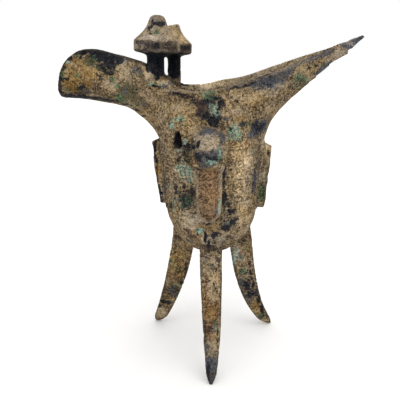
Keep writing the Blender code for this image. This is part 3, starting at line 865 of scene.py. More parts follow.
def crust_height(points, normals):
    """Layers of noise, with pits where two noises are both high, and less inside the cup."""
    flat = points[:, :2] - (CUP_X, 0)
    outward = (flat * normals[:, :2]).sum(1) / np.maximum(np.hypot(*flat.T), 1)
    amount = 0.55 + 0.45 * ease(-0.3, 0.2, outward)
    amount *= 0.75 + 0.25 * ease(60, 75, points[:, 2])
    for on_form, more in ROUGHER:
        amount *= 1 + more * on_form(points)
    rough = layered_noise(points, 7.0, 4, 11) + 0.5 * layered_noise(points, 24.0, 2, 21)
    pits = ease(0.3, 0.6, lattice_noise(points, 2.2, 31))
    pits *= ease(-0.1, 0.4, lattice_noise(points, 13.0, 32))
    return amount * (CRUST * rough - PIT * pits)


wear = ease(-0.55, 0.1, layered_noise(points[band], 11.0, 2, 41))
lift = on_band(points[band], normals[band])
lift *= relief_height(own_angle(points[band]), points[band, 2])
shift = crust_height(points, normals) + keel_steps(points, normals)
shift[band] = BAND_CRUST * shift[band] + (BAND_WEAR[0] + BAND_WEAR[1] * wear) * lift
shift *= 1 - np.exp(-((np.maximum(points[:, 2], 0) / 1.5) ** 2))
write_points(skin, points + (shift + SWELL * (points[:, 2] > 2))[:, None] * normals)
print("skin moved from", round(float(shift.min()), 2), "to", round(float(shift.max()), 2), "mm")

# %% [markdown]
# ## Fewer triangles
#
# The voxels are the same size everywhere, so smooth places hold far more faces than they need.
# Collapsing edges takes faces from there first and keeps the relief.

# %% Thin out the skin
MOST_TRIANGLES = 190000
triangles = 2 * len(skin.polygons)
thin = jue.modifiers.new("thin", "DECIMATE")
thin.ratio = min(1.0, MOST_TRIANGLES / triangles)
skin = evaluated(jue)
skin.name = "jue_skin"
points = read_points(skin)
points[:, 2] = np.maximum(points[:, 2], 0)
write_points(skin, points)
print("triangles:", len(skin.polygons), "from", triangles)

# %% [markdown]
# ## Where the minerals and the painted light lie
#
# Most colours are products of corrosion, and each has its own place: black and slate where the
# metal stayed smooth, turquoise and green copper salts in patches, ochre and pale soil on top. Some
# patches
# are painted light instead: black and brown painted shade under the near rim, the spout and the
# caps, and pale painted light and highlights on the far wall inside the mouth and along some edges.
# Every patch is an egg-shaped region in space. A vertex keeps, for each colour, how deep inside a
# patch it lies, and the material breaks that up with fine noise.

# %% Patches
# Rows: x, y, z, half width, half height, strength
PATCHES = {
    "dark": (
        # Some rows are painted shade: the line along the spout's lower lip from (-86.1, -7, 160.3)
        # to (-39.1, -9.4, 147.9), the band under the near rim at (-17.5, -24.8, 160.8), and (-18,
        # 7.2, 184) on the far cap beside the near cap's edge.
        (-81.3, -12.9, 175, 1.2, 2.7, 1), (-76.9, -13.6, 178.8, 1.6, 1.6, 1.1),
        (-72.9, -13.9, 181.4, 2.6, 1.1, 1.2), (-69, -14, 182.2, 3.2, 1.1, 1.3),
        (-63.7, -14.1, 182.4, 3.2, 1.2, 1.3), (-84.3, -11.5, 169.2, 0.7, 7.1, 1.3),
        (-86.1, -7, 160.3, 1.2, 2.2, 1.2), (-81.4, -4.3, 158, 3.9, 1.2, 1.6),
        (-74.5, -4.7, 157.6, 4.5, 1.1, 1.6), (-67.3, -6.4, 157.4, 4.5, 0.9, 1.5),
        (-61.5, -7.1, 156.6, 3.3, 0.8, 1.3), (-55.9, -7.3, 155.3, 3.3, 0.8, 1.2),
        (-50.2, -8.3, 153.9, 3.3, 0.8, 1.1), (-44.6, -8.8, 151.4, 3.3, 0.8, 1.1),
        (-39.1, -9.4, 147.9, 2.8, 0.8, 1), (-80.2, -11.2, 168.1, 1.4, 1.1, 0.9),
        (-72.5, -10.2, 163.8, 2.5, 2.2, 0.9), (-48.6, 12.8, 177.7, 4.7, 0.6, 1),
        (-44.3, 15.1, 176.5, 2.9, 0.6, 1), (-31.9, -19.4, 194.3, 1.1, 0.5, 1.1),
        (-33, -20.3, 192.4, 0.9, 0.5, 1), (-32.5, -22.6, 190.4, 0.6, 0.5, 1),
        (-28.7, -26.1, 184.6, 4, 1.7, 0.6), (-14.7, 12.2, 183.5, 2.9, 1.8, 0.9),
        (-30.2, -19.2, 169, 0.9, 1.3, 1.2), (-31.1, -19.2, 164.9, 2.1, 0.8, 1.1),
        (-2.5, -28, 162.9, 4.6, 0.4, 0.8), (7.6, -27.7, 162.4, 0.7, 0.7, 1),
        (13.7, -26.1, 164.1, 0.6, 0.6, 1), (12, -26.8, 157.9, 1, 1, 0.9),
        (9.2, -27.4, 159.4, 0.5, 0.5, 1), (16.8, -25, 161.8, 0.6, 0.6, 0.9),
        (-3.5, -28.5, 158, 2, 1.2, 1), (-0.3, -29.8, 148.8, 2.8, 2.6, 1.6),
        (-3.4, -29.4, 151.5, 2, 1.8, 1.1), (2.7, -29.4, 151.1, 1.3, 1.5, 0.8),
        (-17.5, -24.8, 160.8, 6.2, 0.8, 0.8), (-10.2, -27.4, 158.3, 3.6, 2, 0.7),
        (9, -28.5, 144.3, 1.3, 2.1, 0.7), (15.2, -25.7, 146, 1.8, 1.6, 0.8),
        (24.1, -18, 142.8, 4.8, 3.8, 0.8), (-17, -26.5, 148, 1.4, 1.7, 0.8),
        (-7.2, -46.8, 139.5, 1.1, 1.9, 1.1), (0.5, -52.1, 133.4, 2.6, 1, 1.5),
        (-6.5, -50.5, 134.2, 2.4, 1.9, 0.8), (-6, -51.2, 128.2, 4.3, 0.6, 0.8),
        (-7.9, -50.3, 110.4, 0.6, 4, 1), (10.4, -26.4, 99.1, 2.3, 0.9, 1.5),
        (-14.9, -24, 104.2, 4.4, 5.5, 0.8), (-16.6, -24.8, 101, 2.8, 2.2, 0.9),
        (-12, -26.8, 109.1, 2.2, 2.7, 0.8), (-31.7, -1.6, 95.8, 1.8, 2.4, 1.3),
        (18.5, -20.4, 114.6, 0.5, 4.4, 0.5), (22.1, -16.6, 109, 0.8, 5, 0.7),
        (12.4, -24.5, 111.1, 1.1, 1.6, 0.6), (-3.2, -26.2, 91.3, 4.4, 0.7, 1.1),
        (-7.7, -24.4, 86.9, 0.7, 1.1, 0.9), (-32, 14.1, 20, 3.7, 1.4, 1.4),
        (-36.5, 16.3, 15.2, 1, 2.1, 0.9), (-26.8, 8.5, 51.2, 1.4, 1.9, 0.7),
        (-24.7, 7.5, 58.7, 0.8, 0.8, 1), (-16.2, 6.7, 58.6, 0.8, 0.8, 1),
        (-23.7, 9, 43.9, 1.6, 1, 0.7), (0.1, -26.7, 66.1, 1.4, 1.1, 0.9),
        (1.1, -28.9, 53.3, 0.6, 3.4, 0.9), (2.8, -29.3, 51, 0.6, 2.3, 0.9),
        (-1.8, -28.3, 56.7, 0.6, 1.7, 0.8), (-3.5, -29.5, 50.4, 0.6, 1.7, 0.7),
        (-3.5, -34.5, 28.7, 0.6, 6.9, 0.9), (3.5, -35.4, 26.1, 0.6, 8.1, 0.8),
        (30.5, 13.9, 22.1, 1, 4, 1.3), (33.4, 16.2, 14.1, 1.1, 3.4, 1.3),
        (33, 17.4, 8.3, 2.1, 1.7, 1.3), (49.7, -8.6, 173.9, 0.9, 0.6, 1.1),
        (54.3, -6, 174.4, 0.7, 0.8, 1.3), (39.8, -13, 169.1, 0.5, 0.5, 0.9),
        (-61.1, -14.2, 180.1, 3.2, 1.9, 2), (-55.9, -13.5, 170.9, 2.4, 1.1, 1.2),
        (-63.2, -14.1, 180.9, 2.6, 1.3, 1.3), (-5.5, -28.4, 157, 1.5, 1, 0.8),
        (-7.5, -29, 152, 1.5, 1.5, 0.7), (-5, -29.6, 149.5, 1.5, 1.5, 1),
        (-9.3, -43.2, 137.6, 1.3, 0.9, 1.1), (-34.3, -1.6, 128.1, 0.8, 3.5, 1.2),
        (-33.7, -1.6, 121, 0.7, 2.9, 1.1), (-33.7, -1.6, 111.3, 0.7, 3.6, 1),
        (-32.5, -1.6, 101.4, 0.8, 5.4, 1.3), (-30.7, -1.6, 102.7, 0.5, 8.4, 0.9),
        (-34.3, -1.6, 123.4, 0.9, 2.3, 0.8), (-2.6, -25.1, 77, 0.8, 1.4, 0.9),
        (1.4, -25.5, 74.2, 0.6, 1.1, 0.8), (-4.8, -26.3, 67.6, 0.6, 1.1, 0.8),
        (2.1, -27.1, 63.2, 0.6, 1.7, 0.8), (-4.2, -27.6, 60.1, 0.6, 1.1, 0.8),
        (-0.9, -25.8, 71.8, 0.6, 0.8, 0.8), (-17.7, 7.8, 48.9, 0.8, 5.2, 0.9),
        (-21.2, 9.8, 36.4, 0.9, 2.6, 1), (-58.4, -13.7, 173.5, 2.7, 1.6, 0.85),
        (-60.4, -13.8, 175.6, 2.1, 1.3, 0.75), (-4.1, -24.4, 82.1, 0.7, 2.8, 1.7),
        (-2.1, -24.9, 78.7, 0.7, 1.7, 1.6), (0.1, -24.4, 82.8, 1.1, 1.7, 1.1),
        (-8.4, -23.2, 84, 0.6, 1.7, 1.1), (6.5, -12.5, 70.6, 2.4, 0.7, 1),
        (10.6, -23.5, 92.5, 3.9, 0.4, 1.2), (8.9, -24.8, 95.6, 1.7, 0.4, 1),
        (8.1, -27.5, 164.3, 2.5, 0.6, 2), (12.1, -26.5, 164.9, 2.5, 0.7, 2.2),
        (16.2, -25.4, 166, 2.5, 0.7, 2.2), (19.8, -24, 167.4, 2, 0.7, 2),
        (23.4, -22.5, 169, 2, 0.6, 1.8), (27.7, -19.3, 170.4, 3.1, 0.5, 1.4),
        (35.6, 12.8, 171.1, 3.5, 0.6, 1.3), (40.4, 10.5, 173.1, 3.4, 0.5, 1.1),
        (-28.8, -19, 195.9, 3.5, 0.5, 2.2), (-32.9, -19, 194.1, 1.5, 0.4, 1.4),
        (-26.4, -18.4, 194.6, 1.5, 0.4, 1.3), (-31.4, -18.3, 197.2, 0.8, 0.6, 1),
        (-1.7, -42.9, 6.5, 0.9, 5.2, 1.3), (-28.2, -26, 185.8, 3.5, 1.1, 0.75),
        (-27.2, -25.7, 183.8, 3, 0.5, 0.7), (-50.4, -15, 177.6, 2.4, 1.6, 1.7),
        (-55, -14.3, 175.1, 2.9, 2.7, 1.1), (-20.7, -21.3, 108.6, 1.3, 3.9, 0.8),
        (-16, -24.1, 111.1, 1.1, 1.6, 0.8), (-24.4, -14, 97.4, 1.2, 2.9, 0.8),
        (-18.6, -23.9, 126.1, 1.6, 1.6, 0.7), (23.4, 8.6, 49.5, 0.8, 3.9, 1.1),
        (24.6, 9.6, 42.6, 0.8, 3.9, 1.1), (26.2, 10.9, 35.5, 0.9, 4, 1.2),
        (28.5, 12.4, 28.1, 0.9, 4, 1.2), (21.6, 10.5, 34.9, 2.2, 3.3, 1.2),
        (24.5, 11.9, 28.3, 2.1, 3.3, 1.1), (-13.4, -27.6, 134.3, 2.6, 1.8, 1),
        (-15.7, -26.1, 129.9, 1.6, 1.6, 0.75), (-14.5, -27.4, 126.4, 1.6, 2.1, 0.65),
        (5.9, -28, 120.8, 0.9, 4.8, 1), (6.2, -26.6, 106.5, 1.4, 4.3, 1.15),
        (8.2, -25.7, 102.2, 1.6, 1.6, 0.9), (5.8, -28.3, 114.3, 0.8, 2.7, 0.8),
        (10.7, -23.3, 91, 2.8, 2, 1.15), (1.8, -24.2, 84, 1.7, 1.7, 1),
        (10.5, -25.5, 97.6, 1.9, 0.8, 1.7), (-18, 7.2, 184, 1.5, 1.9, 1),
        (-32.2, -26, 183.9, 4.5, 1.2, 0.7), (-24.4, -24.6, 183.2, 3, 1, 0.7),
        (-57.9, -14.3, 179.4, 3.2, 2.1, 1.25), (-53.1, -14.8, 178.9, 3.2, 2.2, 1.45),
        (6.8, -24.1, 87.6, 2.8, 1.9, 1.05), (-19, 21.3, 162.6, 2.4, 0.5, 1.4),
        (0, -28.4, 159.7, 3.6, 1.6, 1.1), (4.1, -28.5, 157, 2.3, 1.6, 1),
        (2.7, -28.9, 154.5, 2, 1.5, 0.9), (-82.6, -11.8, 170.2, 0.8, 4.3, 0.8),
        (-72, -13.7, 179.1, 1.6, 1.1, 0.8), (-3.5, -28.4, 158.5, 2, 1.3, 1),
        (-0.9, -28.8, 157, 1.5, 1.3, 0.8), (25.6, -20.9, 166, 2.6, 1.5, 0.6),
        (29, -18.7, 164.4, 2.1, 1.6, 0.6), (-24.1, 11.3, 28.9, 1.3, 2.7, 0.6),
    ),
    "slate": (
        (-41.9, -16.3, 173.1, 1.7, 1.6, 1.2), (-39.2, -16.9, 171.6, 1.1, 2.1, 1.1),
        (-46.6, -15.6, 177.7, 2.1, 1.3, 0.9), (-38.6, -13.9, 155.2, 3.8, 2.7, 0.7),
        (-50, -15, 176.6, 2.1, 1.1, 0.8), (-30.4, -18.4, 197.9, 2.5, 1.8, 0.9),
        (-24, -17.2, 192.5, 1.5, 3.1, 0.5), (-37, -24, 185.1, 3, 2, 0.5),
        (6.3, -29.1, 149, 1.6, 1, 1.2), (20.3, -21.7, 140.2, 3.2, 2.7, 0.9),
        (-4.1, -38.1, 144, 5, 1.1, 1.4), (4.4, -39, 141.5, 1.5, 3, 1.2),
        (-8.3, -34.5, 142.1, 2, 1, 1.1), (-4.6, -51.2, 134.8, 3.8, 2.9, 1.4),
        (1.6, -49.6, 137, 2.4, 3.4, 1.2), (-2.1, -53.1, 131.4, 4.3, 2.4, 1.3),
        (3.4, -49, 105.4, 1.5, 2, 1.1), (23.3, -14.4, 113, 0.8, 6.7, 1.2),
        (25.6, -10.3, 117.8, 0.6, 6.8, 0.8), (-28.4, -7.9, 109.4, 0.9, 11.6, 1.1),
        (-2.5, -37.4, 20.6, 1.3, 4, 0.8), (1.6, -38.8, 17.1, 1.1, 3.4, 0.6),
        (18.2, 9.5, 38.2, 2, 3.3, 0.8), (25.4, 13.1, 23.2, 2, 3.4, 0.7),
        (-12.7, -17.4, 77.3, 2.9, 2.3, 0.7), (-17.2, -18.9, 85.2, 2.3, 2.3, 0.5),
        (20.9, -23.4, 165.8, 2.6, 1.2, 1.5), (25, -21.4, 167.3, 2.6, 2.4, 1.8),
        (28.8, -19.6, 168.2, 3.1, 2.6, 1.9), (32.5, -17.8, 169.9, 3.1, 2.4, 1.8),
        (36.2, -16.1, 171.8, 3.1, 1.7, 1.8), (39.9, -14.3, 173.6, 2.6, 1.3, 1.7),
        (43.7, -12.7, 175.5, 2.6, 0.9, 1.4), (47.6, -10.1, 177.1, 2.6, 0.9, 1.6),
        (51.5, -8.5, 178.5, 2.7, 1, 1.7), (55.3, -7.2, 179.8, 2.7, 1.1, 1.7),
        (59.1, -6.2, 181.2, 2.1, 1.3, 1.8), (62.4, -5.2, 182.3, 1.6, 1.2, 1.7),
        (24.7, -21.2, 164, 2.1, 1, 1.2), (29, -18.9, 164.9, 3.1, 1, 1.1),
        (33.8, -16.3, 167.3, 2.1, 1.3, 1.1), (59, -1.9, 173.1, 2.2, 2.2, 1.4),
        (56.5, -1.7, 170.7, 1.6, 1.6, 1.2), (61.9, -2.4, 176, 2.2, 1.1, 1),
        (-54.2, -13.9, 172, 1.6, 2.1, 0.9), (-72.1, -9.9, 162.7, 2.2, 2.2, 1.1),
        (-69.7, -9.1, 161.1, 2.2, 1.1, 1), (-26.7, -20.7, 164.8, 2.6, 1.3, 1.1),
        (-22.9, -22.5, 166.2, 1.6, 0.8, 0.9), (24.1, -18.3, 143.4, 4.8, 3.7, 1.3),
        (26.8, -15.9, 146.3, 2.7, 1.6, 0.9), (1.9, -34, 31.8, 1.7, 3.4, 0.8),
        (-26.1, 11.2, 31.1, 2.7, 2.3, 0.9), (-24.9, 11.9, 26.3, 2.7, 2, 0.8),
        (18.3, 9.8, 36.6, 2, 2.6, 1.1), (22.6, 12, 26.7, 2, 2.7, 1), (-0, -41.7, 9.7, 3.4, 4.6, 2),
        (0.1, -44.2, 4.2, 3.4, 5.1, 2.6), (8, -28.9, 141.8, 2.6, 2.6, 0.75),
        (12.8, -26.8, 137.8, 2.6, 1.6, 0.6), (-12.3, -27.9, 131.9, 2.1, 1.6, 0.6),
        (7.3, -24.4, 88.9, 3.9, 2.8, 0.75), (12.4, -22.1, 89.4, 2.8, 1.7, 0.6),
        (70.5, -3.2, 185.3, 4.3, 2.1, 0.85), (75.3, -2.2, 187.9, 2.7, 1.9, 0.7),
        (-47.9, -12.7, 162, 1.6, 2.7, 0.7), (30.1, -18.1, 164.6, 4.2, 1.4, 0.85),
        (24.2, -21.4, 163, 3.1, 1.8, 0.8), (35.4, -15.4, 167.7, 3.1, 1, 0.7),
        (-51.1, -13.8, 168.9, 1.3, 2.7, 0.6), (71.8, -2.3, 184.8, 2.1, 1.6, 1.2),
        (74.4, -1.8, 186.6, 2.1, 1.6, 1.3), (77.1, -1.2, 188.4, 2.1, 1.3, 1.3),
        (78.8, -0.2, 189.5, 1.6, 1.1, 1.2), (-26.8, 11.4, 30.2, 2.7, 4, 0.9),
        (76.9, -0.2, 187.4, 2.7, 1.9, 1.5), (75.3, -0.7, 186.4, 2.7, 1.6, 1.3),
        (78.4, -0.2, 188.7, 1.6, 1.3, 1.4),
    ),
    "turquoise": (
        (-78.2, -13.2, 176.4, 1, 0.6, 1.1), (-53.4, -12.6, 165.5, 0.8, 0.6, 1),
        (-33.6, -18.3, 166.1, 1.3, 0.9, 1.1), (-28.4, -19.9, 165.5, 2.1, 0.7, 0.7),
        (-21.9, -23.7, 144.9, 1.2, 2.1, 1.1), (-17.3, -26.2, 149.7, 2.1, 0.9, 1.1),
        (-19.8, -25, 148.3, 2.6, 1.6, 0.6), (-15.4, -27.3, 146, 1, 1.6, 0.6),
        (10.5, -28.1, 143.2, 3.1, 3.6, 0.7), (13.2, -26.6, 139.9, 2.6, 2.6, 0.65),
        (8.5, -28.7, 139.2, 2.6, 2.1, 0.6), (11, -27.9, 146.3, 1.5, 1, 0.8),
        (-14.8, -27.4, 136.9, 0.8, 1.6, 1.1), (-17.9, -25, 131.8, 1.1, 0.5, 1),
        (-0.4, -53, 131.5, 2.2, 1, 1.4), (3.3, -49, 136.4, 1, 2.4, 0.8),
        (3.9, -50.4, 110.6, 0.8, 2.2, 1.3), (3.4, -49.4, 106.6, 0.7, 1, 1),
        (-14.7, -25.7, 120, 4.3, 4.3, 0.6), (-17.5, -24.2, 121.8, 2.7, 2.2, 0.7),
        (-12.5, -26.3, 115.7, 2.2, 2.2, 0.6), (-24.8, -16.7, 108.9, 0.8, 1.7, 0.8),
        (-22.3, -17.2, 99, 1.1, 3.4, 0.7), (-19.6, -21.4, 103.4, 1.1, 1.7, 0.6),
        (-16.3, -25.1, 123.7, 1.1, 3.2, 0.6), (21.9, -18.7, 130.1, 0.8, 0.8, 1.1),
        (-7.2, -24.2, 85.9, 1.7, 1.8, 1.3), (-3.1, -48, 104.7, 0.5, 0.5, 1),
        (4.2, -28.6, 52.6, 0.5, 1.7, 1), (13.2, 7, 54.2, 1.3, 3.2, 0.8),
        (-21, 19.1, 131.7, 0.6, 1.9, 0.8), (8.4, -24.5, 91.3, 0.6, 0.6, 0.9),
        (0.1, -29.1, 154, 2.5, 3.1, 0.58), (-1.9, -28.9, 156, 1.5, 1.5, 0.5),
        (1.7, -29.4, 151.1, 1.5, 1.5, 0.6), (14.4, 6.9, 57, 1.9, 1.9, 0.5),
        (13.7, 6.5, 60.7, 1.9, 3.2, 0.55), (1.9, -34, 31.8, 1.1, 2.3, 0.45),
    ),
    "green": (
        (-78.9, -13.2, 176.5, 0.6, 0.5, 1), (-82.8, -11.8, 170.2, 0.8, 1.8, 1.1),
        (-74.3, -11.9, 170, 0.9, 1.2, 1), (-81.1, -8.2, 161.5, 1, 0.7, 1.1),
        (-71.9, -13.8, 180.1, 0.7, 0.6, 1), (-69.4, -13.4, 176, 0.5, 0.9, 0.9),
        (-54.6, -13, 167.8, 1.6, 1.4, 0.85), (-52.7, -12.5, 164.6, 1.6, 1.1, 0.8),
        (-53, -9.9, 158, 2, 2.5, 0.9), (-50.4, -9.7, 156.4, 1.7, 1.1, 0.8),
        (-44.9, -9.9, 153.4, 1, 0.7, 1), (-63.9, -14, 179.1, 2.1, 1.3, 0.6),
        (-29.3, -21.6, 191.6, 1.5, 2, 0.6), (-30.5, -19.1, 170, 1, 0.7, 1.1),
        (45, -9.8, 169.5, 1.9, 1.4, 1.1), (47.7, -6.9, 167.8, 2.2, 1.1, 1),
        (43.5, -9.8, 167.4, 1.3, 0.7, 1.1), (44.6, -7.2, 164.1, 0.7, 1.4, 0.9),
        (-1, -28.2, 162.4, 3, 0.8, 1.2), (-4, -28, 161.2, 2.5, 1, 0.9),
        (-2.5, -28.3, 159.7, 3, 1, 0.7), (-5.4, -29.9, 146.5, 1, 1, 0.7),
        (16.8, -25, 161.8, 0.5, 0.5, 0.8), (3.1, -50.7, 133.6, 1.1, 2.9, 0.8),
        (-2.6, -52.6, 132.7, 1, 0.7, 0.8), (-13.8, -24.6, 103.9, 3.3, 3.3, 0.65),
        (-18, -21.5, 99.3, 1.7, 1.7, 0.6), (28, -1.6, 102.3, 1.8, 4.7, 0.9),
        (30.5, -1.6, 112.1, 0.8, 8.2, 0.7), (-26.8, 8.3, 52.4, 1.7, 1.7, 1),
        (-24.9, 8.7, 47.6, 1.3, 1.3, 0.8), (-18.9, 7.3, 54.8, 1, 1.9, 0.8),
        (19.3, 8.5, 46.6, 1.9, 3.2, 0.8), (17, 7.2, 56.3, 1.3, 1.9, 0.7),
        (32.6, 17.2, 8.8, 1.4, 1.4, 1), (0.1, -26.9, 64.6, 1.1, 1.1, 0.8),
        (-24.6, 10.3, 35.3, 4, 1.3, 0.7), (8.6, -21.3, 81.7, 0.6, 0.6, 0.8),
        (20.7, 7, 62.6, 1.3, 1.3, 0.7), (29.7, -1.6, 103.6, 1.4, 3.6, 0.8),
        (1.9, -33.7, 32.9, 1.1, 2.3, 0.6),
    ),
    "ochre": (
        (-73.3, -13.4, 177.6, 3.5, 2.4, 1.1), (-70.4, -13.1, 174.5, 2.7, 2.7, 1.1),
        (-75.5, -12.7, 173.4, 2.7, 2.7, 0.8), (-79.6, -10.3, 164.9, 2.7, 2.2, 1.1),
        (-76.3, -9, 162.1, 2.8, 1.7, 1), (-68.8, -11, 166, 1.9, 3.3, 1),
        (-69.3, -12.2, 170.3, 2.2, 2.7, 0.8), (-79.7, -12.8, 174.5, 1.3, 2.1, 0.8),
        (-43.3, -9.8, 152.1, 2.2, 0.8, 0.9), (-45.1, -15.7, 174.6, 2.1, 1.6, 0.6),
        (-22.3, 12.5, 195.1, 2, 1.7, 1), (-32.5, -18, 196.3, 1, 1, 0.8),
        (13.5, -26.6, 149, 3.4, 1.8, 1.3), (11.3, -27.2, 154.4, 2, 1.5, 0.5),
        (15.4, -25.6, 157.8, 2.6, 1.5, 0.5), (-1.7, -50.7, 127.9, 2.4, 0.9, 1.1),
        (-2.7, -26.1, 89.7, 5, 2, 1.2), (0.7, -25.3, 87.3, 2.8, 1.7, 0.9),
        (-5.5, -24.2, 81.7, 0.8, 1.2, 1), (-10.2, -19.9, 79, 2.3, 1.7, 0.8),
        (-10.1, -29.2, 144.3, 3.1, 1.5, 0.5), (-12.8, -28.6, 141, 1.6, 2.6, 0.5),
        (29.7, 14.5, 18.8, 2.7, 4.1, 1), (23.1, 7.1, 64, 2.5, 5.1, 0.6),
        (-18.8, 6.8, 59.8, 3.2, 3.8, 0.6), (-29.9, 10.4, 38.8, 2.6, 4, 0.5),
        (0.1, -31.9, 39.6, 2.9, 3.4, 0.7), (-32.8, -1.6, 113.8, 0.9, 4.1, 1),
        (28.7, -1.6, 98.6, 1.8, 1.8, 0.6), (17.2, -24.6, 149, 3.1, 1.6, 0.4),
        (53.4, -6, 173, 1.6, 1.1, 0.8), (-67.2, -12.2, 169.8, 2.2, 4.3, 0.8),
        (-64.1, -13, 172.4, 2.1, 2.7, 0.6), (-77, -12, 170.8, 1.6, 1.6, 0.6),
        (-74.2, -11.1, 167.1, 2.2, 2.2, 0.6), (-4.3, -25.8, 89.3, 5.6, 1.4, 1.3),
        (0.1, -24.6, 85.3, 1.7, 1.7, 1), (-27, 9.4, 43.7, 3.9, 6.6, 0.7),
        (-20.1, 6.7, 62.6, 4.5, 5.1, 0.55), (-31.4, 11.5, 33.8, 2.7, 4, 0.6),
        (19.1, 7.8, 52.5, 2.6, 3.9, 0.6), (29.5, 13.8, 22.2, 2, 5.4, 0.9),
        (33.5, 16.8, 11.4, 2.1, 2.7, 0.9), (-40.1, -9.7, 149.3, 2.8, 1.4, 0.6),
        (-36.1, -10.6, 146.2, 2.2, 1.7, 0.5), (-22.6, 12.2, 195.1, 2.3, 2.3, 1),
        (-19.3, 6, 185.9, 1.7, 1.1, 0.6), (-33.1, -1.6, 115, 1.2, 4.1, 1.4),
        (25, -20.2, 157.8, 5.2, 3.1, 0.5), (32.2, -1.6, 126.5, 0.7, 4.6, 0.8),
        (29.8, -1.6, 99.9, 1.2, 3, 0.6),
    ),
    "brown": (
        # (-17, -25, 160.6) and (-21.9, -23.3, 157.4) are brown with painted shade under the near
        # rim.
        (-17, -25, 160.6, 7.7, 1.4, 1.1), (-21.9, -23.3, 157.4, 4.7, 1.6, 0.6),
        (-5.5, -28.7, 155, 2.3, 2.8, 1.3), (-8.1, -28.8, 152.4, 1.5, 2, 0.8),
        (6.6, -28, 160, 3, 1, 0.5), (-14.5, -26.8, 130.6, 2.6, 3.2, 0.6),
        (-11.9, -20.6, 81.1, 4, 2.3, 0.9), (-14.2, -20.9, 84.8, 2.3, 2.8, 0.8),
        (0.8, -24.8, 79.4, 2.8, 2.3, 0.8), (9.2, -20.8, 81.4, 1.5, 0.9, 1.1),
        (-2, -25.4, 74.7, 1.7, 1.7, 0.8), (5.2, -28.6, 155.5, 3.1, 1.5, 0.5),
        (-28.9, 12, 28.4, 1.7, 4, 0.9), (-33.2, 13.5, 23.7, 2, 2.7, 0.7),
        (47.7, 7.2, 176.3, 9, 1.1, 0.7), (-46.8, -15.3, 173.6, 2.1, 1.6, 0.7),
        (-44, -15.9, 174.6, 1.6, 1.6, 0.6), (-57.7, -11.7, 165.1, 3.3, 2.2, 0.4),
        (-62.6, -10.5, 162.8, 4.4, 2.2, 0.6), (-40.5, -12.9, 155.1, 2.7, 1.6, 0.6),
        (-3.7, -26.1, 70, 0.9, 5.7, 0.6), (-3.6, -27.4, 61.9, 1.1, 3.4, 0.5),
        (3.7, -25.8, 70, 0.8, 6.8, 0.6), (28.3, -4.2, 119.3, 1.7, 8.1, 0.5),
        (-3, -28.2, 57.3, 1.7, 5.1, 0.5), (-64, -10.9, 164.5, 3.3, 2.7, 0.6),
        (-72.3, -7.8, 159.9, 6.7, 1.2, 0.9), (-57.3, -10.1, 160.1, 4.4, 2.2, 0.5),
        (-7.1, -28.4, 155.9, 2.6, 2, 1), (-6, -29.1, 152.5, 2, 1.8, 1.2),
        (4.8, -29.7, 145, 1.5, 1.5, 0.9), (1.7, -29.9, 146, 2.6, 1, 0.8),
        (21.9, -21.7, 152.8, 2.1, 7.3, 0.45), (-8.7, -36.2, 141.6, 2, 0.7, 0.9),
        (-10.5, -39.6, 139.4, 1, 2, 0.8), (0.4, -41.6, 143.1, 2.5, 0.6, 0.7),
        (-0.4, -25.1, 77, 4.5, 3.4, 1.2), (-3.7, -25.9, 71.2, 2.3, 2.3, 0.8),
        (2.6, -26, 70.1, 1.7, 2.8, 0.8), (-0.2, -27, 64.3, 2.3, 1.7, 0.7),
        (-0.9, -34.5, 30.1, 4, 3.4, 0.7), (-1.3, -37.7, 20.2, 2.3, 4.6, 0.7),
        (-61.9, -12.1, 167.7, 3.2, 2.2, 0.65), (8.5, -26.5, 112.7, 1.6, 4.9, 0.55),
        (-52.1, -12.7, 165.2, 3.2, 2.7, 0.6), (-44.9, -12, 157.7, 2.7, 2.2, 0.6),
        (-3, -28.9, 155.5, 2.5, 2.5, 1.1), (-0.5, -28.5, 159, 3, 2, 0.6),
        (-50.5, -11.2, 159.7, 2.7, 2.2, 0.5), (-55.2, -12.8, 167.2, 2.2, 2.2, 0.6),
        (-62.2, -11.3, 165, 2.7, 1.6, 0.5),
    ),
    "rust": (
        (-2.1, -50.4, 117.2, 5.4, 13.2, 0.9), (-33, -1.6, 113.8, 0.9, 4.7, 1.2),
        (31.3, -1.6, 114.6, 1.2, 19.3, 1.1), (-0.4, -32.3, 37.9, 4, 8.6, 1.2),
        (-3.5, -28.7, 54.4, 1.7, 6.9, 0.9), (29.2, 12.5, 28.8, 3.3, 10.6, 0.7),
        (34, 16.5, 14.7, 2, 4.1, 0.8), (-28.6, 10.7, 35.7, 3.3, 10.6, 0.6),
        (-22.9, 8, 51.5, 3.2, 6.5, 0.6), (-2.6, -52.5, 129.8, 4.3, 0.7, 0.7),
        (-28.3, 9.3, 45.1, 5.9, 9.2, 0.8), (-32.2, 12.2, 30.4, 3.3, 5.4, 0.8),
        (19, 7.5, 55.5, 3.8, 6.4, 0.6), (-0.5, -31.5, 41.3, 4, 8.6, 1.5),
        (-1.4, -35.3, 27.3, 3.5, 6.9, 0.9), (-0.6, -30.4, 45.8, 3.4, 4.6, 0.9),
        (0.6, -30.4, 45.9, 1.7, 5.7, 0.8),
    ),
    "pale": (
        # Some rows are painted light: those with x from -17 to 56, positive y and z from 159 to 181
        # light the far wall inside the mouth. The thin rows at z about 157.6 along the spout's
        # lower lip, (-18.5, -15.8, 184.7) on the near cap's right edge and the rows at z 188.2 to
        # 189.4 along the near cap's upper edge are painted highlights.
        (-80.7, -12.2, 171.6, 1.8, 2.7, 1), (-76.2, -13.2, 176, 1.6, 1.6, 0.8),
        (-75.7, -10.4, 164.9, 1.6, 1.6, 0.6), (-48, -15, 173.1, 3.4, 3.7, 1.2),
        (-46.6, -14.8, 169.5, 2.7, 2.1, 0.9), (-56.6, -11.9, 165.1, 3.8, 3.8, 0.6),
        (-46.3, 13.1, 176.5, 4.1, 0.9, 0.8), (-67.4, -7.7, 158.8, 3.9, 0.7, 0.8),
